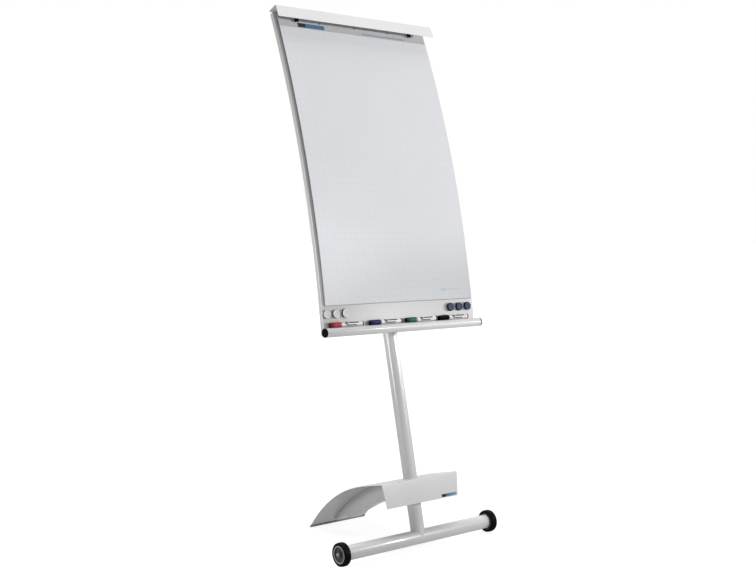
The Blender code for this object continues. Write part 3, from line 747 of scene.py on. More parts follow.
def header_card():
    """Grey card with a plain coloured bar and a thin plain line instead of any print."""
    look = Look("header_card", specular=0.1)
    across, along = look.flat_axes()
    tone = look.noise(25.0, 4.0)
    card = look.mixed(tone, rgb(0.425, 0.425, 0.44), rgb(0.46, 0.46, 0.475))
    bar = look.in_boxes(across, along, HEADER_BAR)
    dark = look.calc("LESS_THAN", across, HEADER_BAR_SPLIT)
    line = look.in_boxes(across, along, HEADER_LINE)
    plain = look.mixed(dark, rgb(0.06, 0.14, 0.25), grey(0.01))
    barred = look.mixed(look.calc("MULTIPLY", bar, 0.95), card, plain)
    look.fibres(0.4)
    lined = look.mixed(look.calc("MULTIPLY", line, 0.7), barred, rgb(0.16, 0.21, 0.29))
    return look.finish(lined, look.remap(tone, 0.7, 0.85))


def marker_barrel():
    """White barrel with three plain dark bars where a marker has its print."""
    look = Look("marker_barrel", coat=0.3, coat_roughness=0.08)
    axes = look.axes()
    front = look.calc("LESS_THAN", axes["Y"], 0.0)
    bars = look.calc("MULTIPLY", look.in_boxes(axes["X"], axes["Z"], *MARKER_BARS), front)
    tone = look.noise(60.0, 3.0)
    white = look.mixed(tone, grey(0.62), grey(0.7))
    look.bump(look.noise(900.0), 0.1, 0.0001)
    colour = look.mixed(look.calc("MULTIPLY", bars, 0.97), white, grey(0.02))
    return look.finish(colour, look.remap(tone, 0.28, 0.38))


def label_film():
    """A thin printed film: plain black up to the split, then plain blue."""
    look = Look("foot_label_film", specular=0.1)
    along = look.axes()["X"]
    tone = look.noise(300.0, 3.0)
    share = look.remap(along, 0.0, 1.0, LABEL_SPLIT, LABEL_RIGHT)
    blue = look.mixed(share, rgb(0.045, 0.11, 0.2), rgb(0.2, 0.34, 0.46))
    dark = look.calc("LESS_THAN", along, LABEL_SPLIT)
    look.bump(tone, 0.1, 0.0001)
    return look.finish(look.mixed(dark, blue, grey(0.006)), look.remap(tone, 0.3, 0.45))


SURFACES = {
    "white_paint": powder_coat("white_powder_coat", grey(0.575), grey(0.55), 0.34),
    "board": powder_coat("board_enamel", grey(0.545), grey(0.538), 0.26, 0.006),
    # The rail's copy of the white paint is lighter, as painted light for the brighter light at the board's
    # top.
    "rail": powder_coat("rail_paint_lightened", rgb(0.775, 0.765, 0.77), rgb(0.745, 0.735, 0.74), 0.3),
    "steel": plated_steel("zinc_steel", rgb(0.52, 0.53, 0.54), rgb(0.68, 0.68, 0.67)),
    "dark_steel": plated_steel("dark_plated_steel", rgb(0.2, 0.205, 0.21), rgb(0.34, 0.34, 0.34)),
    "black_plastic": moulded_plastic("black_plastic", (0.003, 0.003, 0.0035), 0.5, 0.2, 0.03),
    "white_plastic": moulded_plastic("white_plastic", (0.66, 0.66, 0.65), 0.35, 0.1),
    "rubber": rubber_surface("black_rubber", grey(0.0012), grey(0.007)),
    "edge_rubber": rubber_surface("grey_rubber", rgb(0.26, 0.265, 0.245), rgb(0.36, 0.365, 0.34)),
    "grey_plastic": moulded_plastic("hub_plastic", (0.06, 0.064, 0.068), 0.34, 0.2, 0.45),
    "rim_plastic": moulded_plastic("hub_rim_plastic", (0.4, 0.41, 0.41), 0.3),
    "page": page_paper(),
    "paper": fibrous("block_paper", rgb(0.54, 0.55, 0.57), rgb(0.64, 0.64, 0.66), (0.82, 0.92), 0.5,
                     90.0, 4.0),
    "header": header_card(),
    "card": fibrous("backing_card", rgb(0.16, 0.157, 0.152), rgb(0.28, 0.275, 0.265), (0.8, 0.92), 0.7,
                    500.0, 4.0, 0.7),
    "barrel": marker_barrel(),
    "red": cap_plastic("red_plastic", (0.43, 0.05, 0.062)),
    "blue": cap_plastic("blue_plastic", (0.016, 0.016, 0.105)),
    "green": cap_plastic("green_plastic", (0.02, 0.118, 0.082)),
    "black": cap_plastic("marker_black_plastic", (0.0015, 0.0015, 0.0015), 0.03),
    "magnet_white": moulded_plastic("magnet_white_plastic", (0.62, 0.63, 0.63), 0.4, 0.08, 0.3),
    "magnet_blue": moulded_plastic("magnet_blue_plastic", (0.012, 0.032, 0.088), 0.42, 0.08, 0.1),
    # Darker copies of the magnets' plastics for their side walls, as painted shade.
    "magnet_white_side": moulded_plastic("magnet_white_painted_shade_side", (0.1, 0.1, 0.1), 0.45, 0.1, 0.2),
    "magnet_blue_side": moulded_plastic("magnet_blue_painted_shade_side", (0.004, 0.007, 0.018), 0.5, 0.1, 0.04),
    "label": label_film(),
}


# Wheels and crossbar

def tyre_profile():
    """A ring from the bore round both rounded shoulders, with grooves round the tread."""
    half = WHEEL_WIDTH / 2
    bore = HUB_RADIUS + GAP
    crown = []
    for along in steps_between(-CROWN_HALF_WIDTH, CROWN_HALF_WIDTH, 64):
        radius = WHEEL_RADIUS - CROWN_DROP * (along / CROWN_HALF_WIDTH) ** 4
        from_groove = abs((along / TREAD_PITCH + 0.5) % 1.0 - 0.5) * TREAD_PITCH
        grooved = abs(along) < TREAD_PITCH * (TREAD_GROOVES // 2 + 0.5)
        if grooved and from_groove < TREAD_GROOVE_HALF_WIDTH:
            radius -= TREAD_DEPTH
        crown.append((along, radius))
    wall = rounded([(-half, bore), (-half, 0.0325), (0.0004 - half, 0.0329), (0.0004 - half, 0.0338),
                    (-half, 0.0342), (-half, 0.0362)], 0.0006, closed=False)
    return wall + crown + mirrored(reversed(wall), -1)


def hub_relief(angle, along, radius):
    """Raise broad spokes out of the hub's dished outer face."""
    if not (HUB_DISH_START < radius < HUB_DISH_END and along < HUB_DISH_FACE):
        return along, radius
    spoke = max(0.0, cos(HUB_SPOKES * angle)) ** 0.5
    share = sin(pi * (radius - HUB_DISH_START) / HUB_DISH_SPAN) ** 0.4
    return along - SPOKE_HEIGHT * spoke * share, radius


def hexagon(angle):
    """The share of its corner radius that a hexagon reaches at an angle."""
    sixth = pi / 3
    return cos(sixth / 2) / cos(angle % sixth - sixth / 2)


def cap_nut_relief(angle, along, radius):
    """Make the nut's flats, between the washer and the dome."""
    if CAP_NUT_FRONT < along < CAP_NUT_BACK and radius > CAP_NUT_FLATS_RADIUS:
        return along, radius * hexagon(angle)
    return along, radius


def on_hub_lip(centre):
    return hypot(centre.y, centre.z) > HUB_LIP_RADIUS and centre.x < 0.0


def make_wheel(side, name):
    """One wheel with its axle bolt. Local +X faces inwards on the left, so the right one turns half round."""
    place = at(side * WHEEL_X, AXLE_Y, WHEEL_RADIUS) @ turn(0 if side < 0 else 180, "Z")
    piece(f"tyre_{name}", turned(tyre_profile(), TUBE_STEPS), "rubber", place)
    outer_face = [(-0.013, AXLE_BORE), (-0.013, 0.0088), (-0.006, HUB_DISH_START)]
    dish = [(-0.0055, radius) for radius in steps_between(0.0108, 0.0242, 16)]
    rim = [(-0.006, 0.0247), (-0.0118, 0.0262), (-0.0125, 0.0285), (-0.0116, HUB_RADIUS)]
    inner = [(0.0116, HUB_RADIUS), (0.0112, 0.027), (0.006, 0.0255), (0.006, 0.011), (0.0116, 0.0095),
             (0.0116, AXLE_BORE)]
    profile = outer_face + dish + rounded(rim + inner, 0.0008, closed=False)
    hub = piece(f"hub_{name}", turned(profile, HUB_STEPS, hub_relief), "grey_plastic", place)
    repaint(hub, "rim_plastic", on_hub_lip)
    bolt = [(-0.0205, 0.0), (-0.0203, 0.0016), (-0.0197, 0.0032), (-0.0187, 0.0045), (-0.018, 0.005),
            (-0.0176, 0.0052), (-0.0172, 0.0064), (-0.015, 0.0064), (-0.0147, 0.0058), (-0.0145, 0.0078),
            (-0.0136, 0.008), (-0.0134, 0.0077), (-0.0134, AXLE_RADIUS), (0.0345, AXLE_RADIUS),
            (0.035, 0.0045), (0.035, 0.0)]
    piece(f"axle_bolt_{name}", turned(bolt, FACETED_STEPS, cap_nut_relief), "dark_steel", place)


def make_crossbar():
    flange = WHEEL_X - WHEEL_WIDTH / 2 - 2 * GAP
    shoulder = flange - END_PLUG_FLANGE
    place = at(0.0, AXLE_Y, WHEEL_RADIUS)
    half = shoulder - GAP
    piece("crossbar_tube", open_tube(half, TUBE_RADIUS, TUBE_WALL, 0.0005), "white_paint", place)
    spigot = TUBE_RADIUS - TUBE_WALL - GAP
    insert = shoulder - END_PLUG_DEPTH
    profile = [(flange, AXLE_BORE), (flange, TUBE_RADIUS), (shoulder, TUBE_RADIUS), (shoulder, spigot),
               (insert, spigot), (insert, AXLE_BORE)]
    for side, name in SIDES:
        plug = turned(mirrored(rounded(profile, 0.001), side), TUBE_STEPS)
        piece(f"crossbar_plug_{name}", plug, "white_plastic", place)


# Mast and foot

def saddle_height(radius, angle, clearance):
    """How far above the crossbar's axis a mast fibre meets the crossbar's skin."""
    across = radius * sin(angle)
    return sqrt(max(0.0, (TUBE_RADIUS + clearance) ** 2 - across ** 2))


def mast_ring(radius, height, count=TUBE_STEPS):
    """Points round the mast, at one height or at the height that each angle has."""
    return [(radius * cos(angle), radius * sin(angle), height(angle) if callable(height) else height)
            for angle in round_angles(count)]


def make_mast():
    outer, inner = TUBE_RADIUS, TUBE_RADIUS - TUBE_WALL
    rings = [mast_ring(outer, lambda angle: saddle_height(outer, angle, GAP) + GAP),
             mast_ring(outer, lambda angle: saddle_height(outer, angle, GAP) + MAST_SADDLE_RISE)]
    rings += [mast_ring(outer, height) for height in (*MAST_STATIONS, MAST_LENGTH - MAST_EDGE)]
    rings += [mast_ring(outer - MAST_EDGE, MAST_LENGTH), mast_ring(inner, MAST_LENGTH),
              mast_ring(inner, lambda angle: saddle_height(inner, angle, GAP) + GAP)]
    piece("mast_tube", loft(rings, closed_loop=True), "white_paint", mast_frame(), settled=True)
    top = MAST_LENGTH + GAP
    spigot = inner - GAP
    plug = [(top + 0.004, 0.0), (top + 0.0039, 0.008), (top + 0.0036, 0.015), (top + 0.003, 0.02),
            (top + 0.002, 0.0236), (top + 0.0008, TUBE_RADIUS), (top, TUBE_RADIUS), (top, spigot),
            (top - 0.018, spigot), (top - 0.02, spigot - 0.002), (top - 0.02, 0.0)]
    piece("mast_top_plug", turned(plug, TUBE_STEPS), "black_plastic", mast_frame() @ UP, settled=True)
    outside = outer + MAST_WELD_OUT
    seam = mast_ring(outside, lambda angle: saddle_height(outside, angle, MAST_WELD_OFF), WELD_STEPS)
    weld("mast_weld", seam, MAST_WELD_RADIUS)


def weld(name, seam, radius):
    """A small rippled bead of weld along a closed seam round the mast."""
    rings = []
    for index, point in enumerate(seam):
        here = Vector(point)
        along = (Vector(seam[(index + 1) % len(seam)]) - Vector(seam[index - 1])).normalized()
        out = Vector((here.x, here.y, 0.0)).normalized()
        up = along.cross(out)
        size = radius + WELD_RIPPLE * sin(index * 2.1)
        rings.append([here + out * size * cos(angle) + up * size * sin(angle)
                      for angle in round_angles(WELD_SIDES)])
    detail(name, loft(rings, closed_loop=True), "white_paint", "frame", mast_frame())


def foot_arc_centre():
    """The centre of the sheet's curve, as (back, up) in the mast frame."""
    return Vector((FOOT_STRAIGHT - FOOT_FRONT, FOOT_HEIGHT - FOOT_RADIUS))


def foot_end_turn():
    """How far the foot's curve turns in the mast frame before its outer face is just above the floor."""
    centre = foot_arc_centre()
    centre_height = WHEEL_RADIUS + centre.y * cos(MAST_LEAN) - centre.x * sin(MAST_LEAN)
    return acos((FOOT_END_HEIGHT - centre_height) / FOOT_RADIUS) - MAST_LEAN


def foot_half_width(back):
    """Half the sheet's width at a distance behind the mast's axis: it tapers evenly to the rear."""
    end = foot_arc_centre().x + FOOT_RADIUS * sin(foot_end_turn())
    share = (back + FOOT_FRONT) / (end + FOOT_FRONT)
    return FOOT_FRONT_HALF_WIDTH + (FOOT_REAR_HALF_WIDTH - FOOT_FRONT_HALF_WIDTH) * share


def foot_stations():
    """(back, up, outward normal, half width) along the foot's outer face, from the plate's lower edge."""
    yield -FOOT_FRONT, FOOT_HEIGHT - FOOT_PLATE, (-1.0, 0.0), FOOT_PLATE_HALF_WIDTH
    for bend in steps_between(0.0, pi / 2, 8):
        normal = (-cos(bend), sin(bend))
        back = FOOT_FOLD - FOOT_FRONT + FOOT_FOLD * normal[0]
        up = FOOT_HEIGHT - FOOT_FOLD + FOOT_FOLD * normal[1]
        yield back, up, normal, foot_half_width(back)
    centre = foot_arc_centre()
    for bend in steps_between(0.0, foot_end_turn(), 48):
        normal = (sin(bend), cos(bend))
        back = centre.x + FOOT_RADIUS * normal[0]
        yield back, centre.y + FOOT_RADIUS * normal[1], normal, foot_half_width(back)


def make_foot_sheet():
    rings = []
    for back, up, normal, half in foot_stations():
        inner_back = back - FOOT_SHEET * normal[0]
        inner_up = up - FOOT_SHEET * normal[1]
        rings.append([(-half, back, up), (0.0, back, up), (half, back, up), (half, inner_back, inner_up),
                      (0.0, inner_back, inner_up), (-half, inner_back, inner_up)])
    hole = moved(turned(rod(*MAST_HOLE_ENDS, TUBE_RADIUS + MAST_HOLE_GAP), TUBE_STEPS), UP)
    piece("foot_sheet", loft(rings), "white_paint", mast_frame(), [hole], soft=0.0005, settled=True)
    seam = mast_ring(TUBE_RADIUS + FOOT_WELD_OUT, FOOT_HEIGHT + FOOT_WELD_OFF, WELD_STEPS)
    weld("foot_weld", seam, FOOT_WELD_RADIUS)


def spine_depth(bend):
    """The channel's depth where the foot's curve has turned by a bend."""
    angle = degrees(bend + MAST_LEAN)
    for (start, near), (end, far) in zip(SPINE_DEPTHS, SPINE_DEPTHS[1:]):
        if angle <= end:
            return near + (far - near) * (angle - start) / (end - start)
    return SPINE_DEPTHS[-1][1]


def spine_ring(back, up, normal, depth):
    """The open channel's outline, square to the foot's face, with its mouth to the foot."""
    top = FOOT_SHEET + GAP
    fold = min(SPINE_FOLD, 0.4 * (depth - top))
    outline = channel(SPINE_HALF_WIDTH, top, depth, SPINE_WALL, fold, 4)
    return [(x, back - below * normal[0], up - below * normal[1]) for x, below in outline]


def make_foot_spine():
    centre = foot_arc_centre()
    rings = [spine_ring(TUBE_RADIUS + 2 * GAP, FOOT_HEIGHT, (0.0, 1.0), SPINE_DEPTHS[0][1])]
    for angle in sorted({angle for angle, _ in SPINE_DEPTHS} | set(steps_between(*SPINE_STATIONS))):
        bend = radians(angle) - MAST_LEAN
        normal = (sin(bend), cos(bend))
        back = centre.x + FOOT_RADIUS * normal[0]
        up = centre.y + FOOT_RADIUS * normal[1]
        rings.append(spine_ring(back, up, normal, spine_depth(bend)))
    piece("foot_spine", loft(rings), "white_paint", mast_frame(), soft=0.0003, settled=True)


def make_foot_edge_strip():
    """A rubber strip with a flat sole, pushed onto the foot's rear edge."""
    back, up, _, _ = list(foot_stations())[-1]
    edge = mast_frame() @ Vector((0.0, back, up))
    lean = foot_end_turn() + MAST_LEAN
    along = Vector((cos(lean), -sin(lean)))
    outward = Vector((sin(lean), cos(lean)))

    def point(before, out):
        return Vector((edge.y, edge.z)) - along * before + outward * out

    def on_floor(start):
        return start + along * (start.y / sin(lean))

    outer = point(STRIP_LIP, STRIP_WALL)
    inner = point(STRIP_LIP, -FOOT_SHEET - STRIP_WALL)
    outline = [outer, point(STRIP_LIP, GAP), point(-GAP, GAP), point(-GAP, -FOOT_SHEET - GAP),
               point(STRIP_LIP, -FOOT_SHEET - GAP), inner, on_floor(inner), on_floor(outer)]
    section = rounded([tuple(corner) for corner in outline], 0.0005, 2)
    piece("foot_edge_strip", extruded(section, -FOOT_REAR_HALF_WIDTH, FOOT_REAR_HALF_WIDTH), "edge_rubber")


def make_foot_label():
    """A plain thin label at the right end of the foot's front plate."""
    outline = rounded([(LABEL_LEFT, LABEL_LOW), (LABEL_RIGHT, LABEL_LOW), (LABEL_RIGHT, LABEL_HIGH),
                       (LABEL_LEFT, LABEL_HIGH)], 0.0012, 4)
    front = -FOOT_FRONT - LABEL_FILM
    rings = [[(x, y, z) for x, z in outline] for y in (front, front - LABEL_FILM)]
    detail("foot_label", loft(rings), "label", "frame", mast_frame())


# Board and its supports

def board_section():
    """(x, back) outline of the folded board: a face with a flange along each side."""
    half = BOARD_HALF_WIDTH
    bend = BOARD_EDGE_RADIUS
    left_outer = arc((bend - half, bend), bend, 180, 270, 8)
    left_inner = arc((bend - half, bend), bend - BOARD_SHEET, 270, 180, 6)
    edge = 0.0004
    left = [(BOARD_SHEET - half - edge, BOARD_FLANGE), (edge - half, BOARD_FLANGE),
            (-half, BOARD_FLANGE - edge)] + left_outer
    left_back = left_inner + [(BOARD_SHEET - half, BOARD_FLANGE - edge)]
    return left + mirrored(reversed(left), -1) + mirrored(reversed(left_back), -1) + left_back


def slot_tool(centre_x):
    """A round-ended bar that cuts a hook's slot through the board."""
    straight = HOOK_SLOT_HALF_LENGTH - HOOK_SLOT_HALF_HEIGHT
    right = arc((straight, 0.0), HOOK_SLOT_HALF_HEIGHT, -90, 90, 12)
    left = arc((-straight, 0.0), HOOK_SLOT_HALF_HEIGHT, 90, 270, 12)
    tool = loft([[(centre_x + x, y, z) for x, z in right + left] for y in (-0.01, 0.01)])
    return moved(tool, board_frame(HOLE_S))


def make_board():
    section = board_section()
    rings = []
    for s in steps_between(0.0, BOARD_LENGTH, BOARD_STATIONS):
        place = board_frame(s)
        rings.append([place @ Vector((x, back, 0.0)) for x, back in section])
    slots = [slot_tool(-HOOK_X), slot_tool(HOOK_X)]
    piece("board_panel", loft(rings), "board", cuts=slots)


def make_crossmember(name, s):
    """A channel with rounded folds across the board's back, with its open side towards the board."""
    front = BOARD_SHEET + GAP
    outline = channel(CROSSMEMBER_HEIGHT / 2, front, front + CROSSMEMBER_DEPTH, BOARD_SHEET, CROSSMEMBER_FOLD)
    section = [(depth, across) for across, depth in outline]
    mesh = extruded(section, -CROSSMEMBER_HALF_LENGTH, CROSSMEMBER_HALF_LENGTH)
    piece(name, mesh, "white_paint", board_frame(s), soft=0.0003)


def mast_distance(s):
    """Distance straight back from the board's face to the mast's axis."""
    place = board_frame(s)
    to_mast = mast_frame().inverted()
    start = to_mast @ place.translation
    direction = to_mast.to_3x3() @ (place.to_3x3() @ Vector((0.0, 1.0, 0.0)))
    return -start.y / direction.y


def make_bracket(name, ends, bolt_s):
    """A folded U that reaches from a crossmember round both sides of the mast, with its through bolt."""
    half = TUBE_RADIUS + 2 * GAP + BRACKET_WALL
    web = BOARD_SHEET + 2 * GAP + CROSSMEMBER_DEPTH
    rings = []
    for s in steps_between(*ends, 4):
        place = board_frame(s)
        ring = channel(half, mast_distance(s) + BRACKET_REACH, web, BRACKET_WALL, BRACKET_FOLD)
        rings.append([place @ Vector((x, y, 0.0)) for x, y in ring])
    piece(name, loft(rings), "white_paint", soft=0.0005)
    place = board_frame(bolt_s, -mast_distance(bolt_s))
    start = half + GAP
    head = start + WASHER_THICKNESS
    end = start + BOLT_HEAD_DEPTH
    half_bolt = [(start, 0.004), (start, BOLT_HEAD + WASHER_RIM), (head, BOLT_HEAD + WASHER_RIM),
                 (head, BOLT_HEAD - 0.0008), (head + 0.0002, BOLT_HEAD), (end - 0.0006, BOLT_HEAD),
                 (end, BOLT_HEAD - 0.0008), (end, 0.0)]

    def flats(angle, along, radius):
        if abs(along) > head + 0.0001 and radius > 0.001:
            return along, radius * hexagon(angle)
        return along, radius

    bolt = mirrored(reversed(half_bolt), -1) + half_bolt
    piece(f"{name}_bolt", turned(bolt, FACETED_STEPS, flats), "steel", place)


# Marker tube

def make_tray():
    place = board_frame(TRAY_S, TRAY_OUT)
    half = TRAY_HALF_LENGTH - CAP_OVERLAP
    piece("tray_tube", open_tube(half, TRAY_RADIUS, TRAY_WALL, 0.0004), "white_paint", place)
    spigot = TRAY_RADIUS - TRAY_WALL - GAP
    start = half + GAP
    end = TRAY_HALF_LENGTH + TRAY_CAP
    cap = [(end - 0.0005, 0.0), (end - 0.0004, 0.009), (end, 0.011), (end, 0.0147), (end - 0.0003, 0.0152),
           (end - 0.0008, TRAY_RADIUS), (start, TRAY_RADIUS), (start, spigot), (start - 0.012, spigot),
           (start - 0.0137, spigot - 0.001), (start - 0.0137, 0.0)]
    screw = [(-0.0036, 0.0), (-0.0036, 0.0012), (-0.005, 0.0016), (-0.0048, 0.0032), (-0.0038, 0.0046),
             (-0.0025, 0.0054), (-0.0019, 0.0055), (-0.0019, TRAY_SCREW_RADIUS), (0.0105, TRAY_SCREW_RADIUS),
             (0.011, 0.0025), (0.011, 0.0)]
    for side, name in SIDES:
        piece(f"tray_cap_{name}", turned(mirrored(cap, side), TUBE_STEPS), "black_plastic", place)
        screw_place = board_frame(TRAY_S, 0.0, side * TRAY_SCREW_X) @ OUT
        piece(f"tray_screw_{name}", turned(screw, SMALL_STEPS), "steel", screw_place)


# Paper pad

def curved_sheet(half_width, bottom_s, top_s, back, front, stations, columns=1, lift=None):
    """A sheet that follows the board's curve, from a distance back to a distance front off its face."""
    rings = []
    flat = []
    places = steps_between(-half_width, half_width, columns)
    for s in steps_between(bottom_s, top_s, stations):
        rise = [lift(x, s) if lift else 0.0 for x in places]
        near = [on_board(x, s, front + up) for x, up in zip(places, rise)]
        far = [on_board(x, s, back + up) for x, up in zip(places, rise)]
        rings.append(near + list(reversed(far)))
        flat.append([(x, s) for x in places + list(reversed(places))])
    return loft(rings, flat=flat)


def hole_tools():
    """One tool that cuts the pad's five holes."""
    tools = []
    for x in HOLE_PLACES:
        place = board_frame(HOLE_S - HOLE_DROP, 0.0, x) @ turn(90, "Z").inverted()
        tools.append(moved(turned(rod(-0.006, 0.012, HOLE_RADIUS), SMALL_STEPS), place))
    return [merged(tools)]


def page_lift(x, s):
    """A slight swell of the front sheet away from the block, most near its free lower edge."""
    free = (HEADER_BOTTOM_S - s) / (HEADER_BOTTOM_S - PAD_BOTTOM_S)
    swell = 0.5 + 0.5 * sin(7.0 * x + 4.0 * s) * cos(3.0 * x - 5.0 * s)
    return PAGE_SWELL * free ** 1.5 * swell


def make_pad():
    """The backing card, the block, the header strip and the front sheet, one in front of the other."""
    card_front = PAD_BACK + CARD_SHEET
    block_back = card_front + GAP
    block_front = block_back + BLOCK_SHEET
    front = block_front + GAP
    card = curved_sheet(PAD_HALF_WIDTH, PAD_BOTTOM_S, PAD_TOP_S, PAD_BACK, card_front, SHEET_STATIONS)
    piece("pad_backing_card", card, "card", cuts=hole_tools())
    piece("pad_paper_block", sheet_stack(block_back, block_front), "paper", cuts=hole_tools())
    header = curved_sheet(PAD_HALF_WIDTH, HEADER_BOTTOM_S, PAD_TOP_S, front, front + HEADER_SHEET, 6)
    piece("pad_header", header, "header", cuts=hole_tools())
    page = curved_sheet(PAD_HALF_WIDTH, PAD_BOTTOM_S + PAGE_SHORT, HEADER_BOTTOM_S - GAP, front,
                        front + TOP_SHEET, SHEET_STATIONS, PAGE_COLUMNS, page_lift)
    piece("pad_top_sheet", page, "page")


def sheet_stack(back, front):
    """The block as bundles of sheets whose cut edges don't quite line up."""
    chance = random.Random(SHEET_SEED)
    bundles = []
    edges = steps_between(back, front, BLOCK_LAYERS)
    for near, far in zip(edges, edges[1:]):
        half = PAD_HALF_WIDTH - chance.uniform(*SHEET_STEP_IN)
        bottom = PAD_BOTTOM_S + chance.uniform(*SHEET_STEP_UP)
        bundles.append(curved_sheet(half, bottom, PAD_TOP_S, near, far - BUNDLE_GAP, SHEET_STATIONS))
    return merged(bundles)


def make_hook(side, name):
    """A pin through the board's slot and the pad's hole, with a two-pronged front and a nut behind."""
    place = board_frame(HOLE_S, 0.0, side * HOOK_X)
    half = HOOK_HALF_WIDTH
    notch = HOOK_NOTCH_HALF_WIDTH
    front = HOOK_FORK_OUT
    end = HOOK_PRONG_END
    taper = end + HOOK_PRONG_TAPER
    prong = [(-half, taper), (-half + 0.002, end), (-notch - 0.001, end), (-notch, taper),
             (-notch, HOOK_NOTCH_TOP)]
    outline = arc((0.0, HOOK_CROWN_UP), half, 0, 180, 20) + prong + mirrored(reversed(prong), -1)
    fork = loft([[(x, y, z) for x, z in outline] for y in (-front, -front - HOOK_FORK_DEPTH)])
    radius = HOOK_PIN_RADIUS
    pin = [(-HOOK_PIN_BACK, 0.0), (-HOOK_PIN_BACK, radius - 0.0006), (0.0006 - HOOK_PIN_BACK, radius)]
    pin += thread_profile(radius) + [(front + 0.0001, radius), (front + 0.0001, 0.0)]
    stem = moved(turned(pin, SMALL_STEPS), OUT)
    hook = piece(f"paper_hook_{name}", fork, "black_plastic", place)
    soften(hook, 0.0005, 3)
    detail(f"hook_stem_{name}", stem, "steel", "frame", place)
    piece(f"hook_knob_{name}", knob(radius + GAP), "black_plastic", place @ turn(90, "Z"))


def thread_profile(radius):
    """Fine threads as a zigzag between two depths."""
    profile = []
    for index in range(int((THREAD_END - THREAD_START) / THREAD_PITCH)):
        profile.append((THREAD_START + THREAD_PITCH * index, radius))
        profile.append((THREAD_START + THREAD_PITCH * (index + 0.5), radius - THREAD_DEPTH))
    return profile


def knob(bore):
    """A round nut with a fluted rim, turned about X."""
    front = KNOB_BACK
    back = KNOB_BACK + KNOB_DEPTH
    rim = KNOB_RADIUS
    profile = [(front, bore), (front, rim - 0.0022), (front + 0.001, rim - 0.0006), (front + 0.0022, rim),
               (back - 0.0022, rim), (back - 0.0008, rim - 0.0008), (back, rim - 0.0024), (back, 0.0062),
               (back - 0.001, 0.0056), (back - 0.001, bore)]

    def flutes(angle, along, radius):
        if radius < KNOB_FLUTES_RADIUS:
            return along, radius
        return along, radius - KNOB_FLUTE * (0.5 + 0.5 * cos(KNOB_FLUTES * angle))

    return turned(profile, KNOB_FLUTES * 6, flutes)


# Clamp rail

def hinge_frame():
    return board_frame(RAIL_HINGE_S, -RAIL_HINGE_BACK)


def rail_outline():
    """(y, z) outline of the folded cover: the hinge curl, the top, the fold and the front flap."""
    top = KNUCKLE_RADIUS - 0.00005
    under = top - RAIL_SHEET
    front = RAIL_FRONT
    curl = arc((0.0, 0.0), KNUCKLE_RADIUS, 90, -210, 24)
    centre = (RAIL_FOLD - front, top - RAIL_FOLD)
    fold = arc(centre, RAIL_FOLD, 180, 90, 8)
    inner_fold = arc(centre, RAIL_FOLD - RAIL_SHEET, 90, 180, 6)
    edge = 0.0004
    lip = [(RAIL_SHEET - front, edge - RAIL_DROP), (RAIL_SHEET - front - edge, -RAIL_DROP),
           (edge - front, -RAIL_DROP), (-front, edge - RAIL_DROP)]
    return curl + [(RAIL_CURL_END, under)] + inner_fold + lip + fold


def make_rail():
    """A folded cover with a hinge curl along its rear edge, notched for the two leaves."""
    place = hinge_frame()
    cover = extruded(rail_outline(), -RAIL_HALF_LENGTH, RAIL_HALF_LENGTH)
    reach = RAIL_NOTCH_REACH
    notch = [(RAIL_NOTCH_FRONT, -reach), (reach, -reach), (reach, reach), (RAIL_NOTCH_FRONT, reach)]
    tools = []
    for side in (-1, 1):
        ends = sorted((side * (LEAF_START - GAP), side * (LEAF_END + GAP)))
        tools.append(extruded(notch, *ends))
    bore = rod(-0.4, 0.4, HINGE_PIN_RADIUS + GAP)
    tools.append(turned(bore, SMALL_STEPS))
    piece("clamp_rail", cover, "rail", place, tools, soft=0.0003, settled=True)
    curl = arc((0.0, 0.0), KNUCKLE_RADIUS, 0, 300, 24)
    outline = [(KNUCKLE_RADIUS, -LEAF_DROP)] + curl + [(KNUCKLE_RADIUS - RAIL_SHEET, -LEAF_DROP)]
    for side, name in SIDES:
        leaf = extruded(outline, *sorted((side * LEAF_START, side * LEAF_END)))
        piece(f"rail_hinge_leaf_{name}", leaf, "steel", place, [turned(bore, SMALL_STEPS)], soft=0.0002)
    half = RAIL_HALF_LENGTH - HINGE_PIN_INSET
    pin = rounded(rod(-half, half, HINGE_PIN_RADIUS), 0.0004, closed=False)
    piece("rail_hinge_pin", turned(pin, SMALL_STEPS), "steel", place)


# Markers and magnets

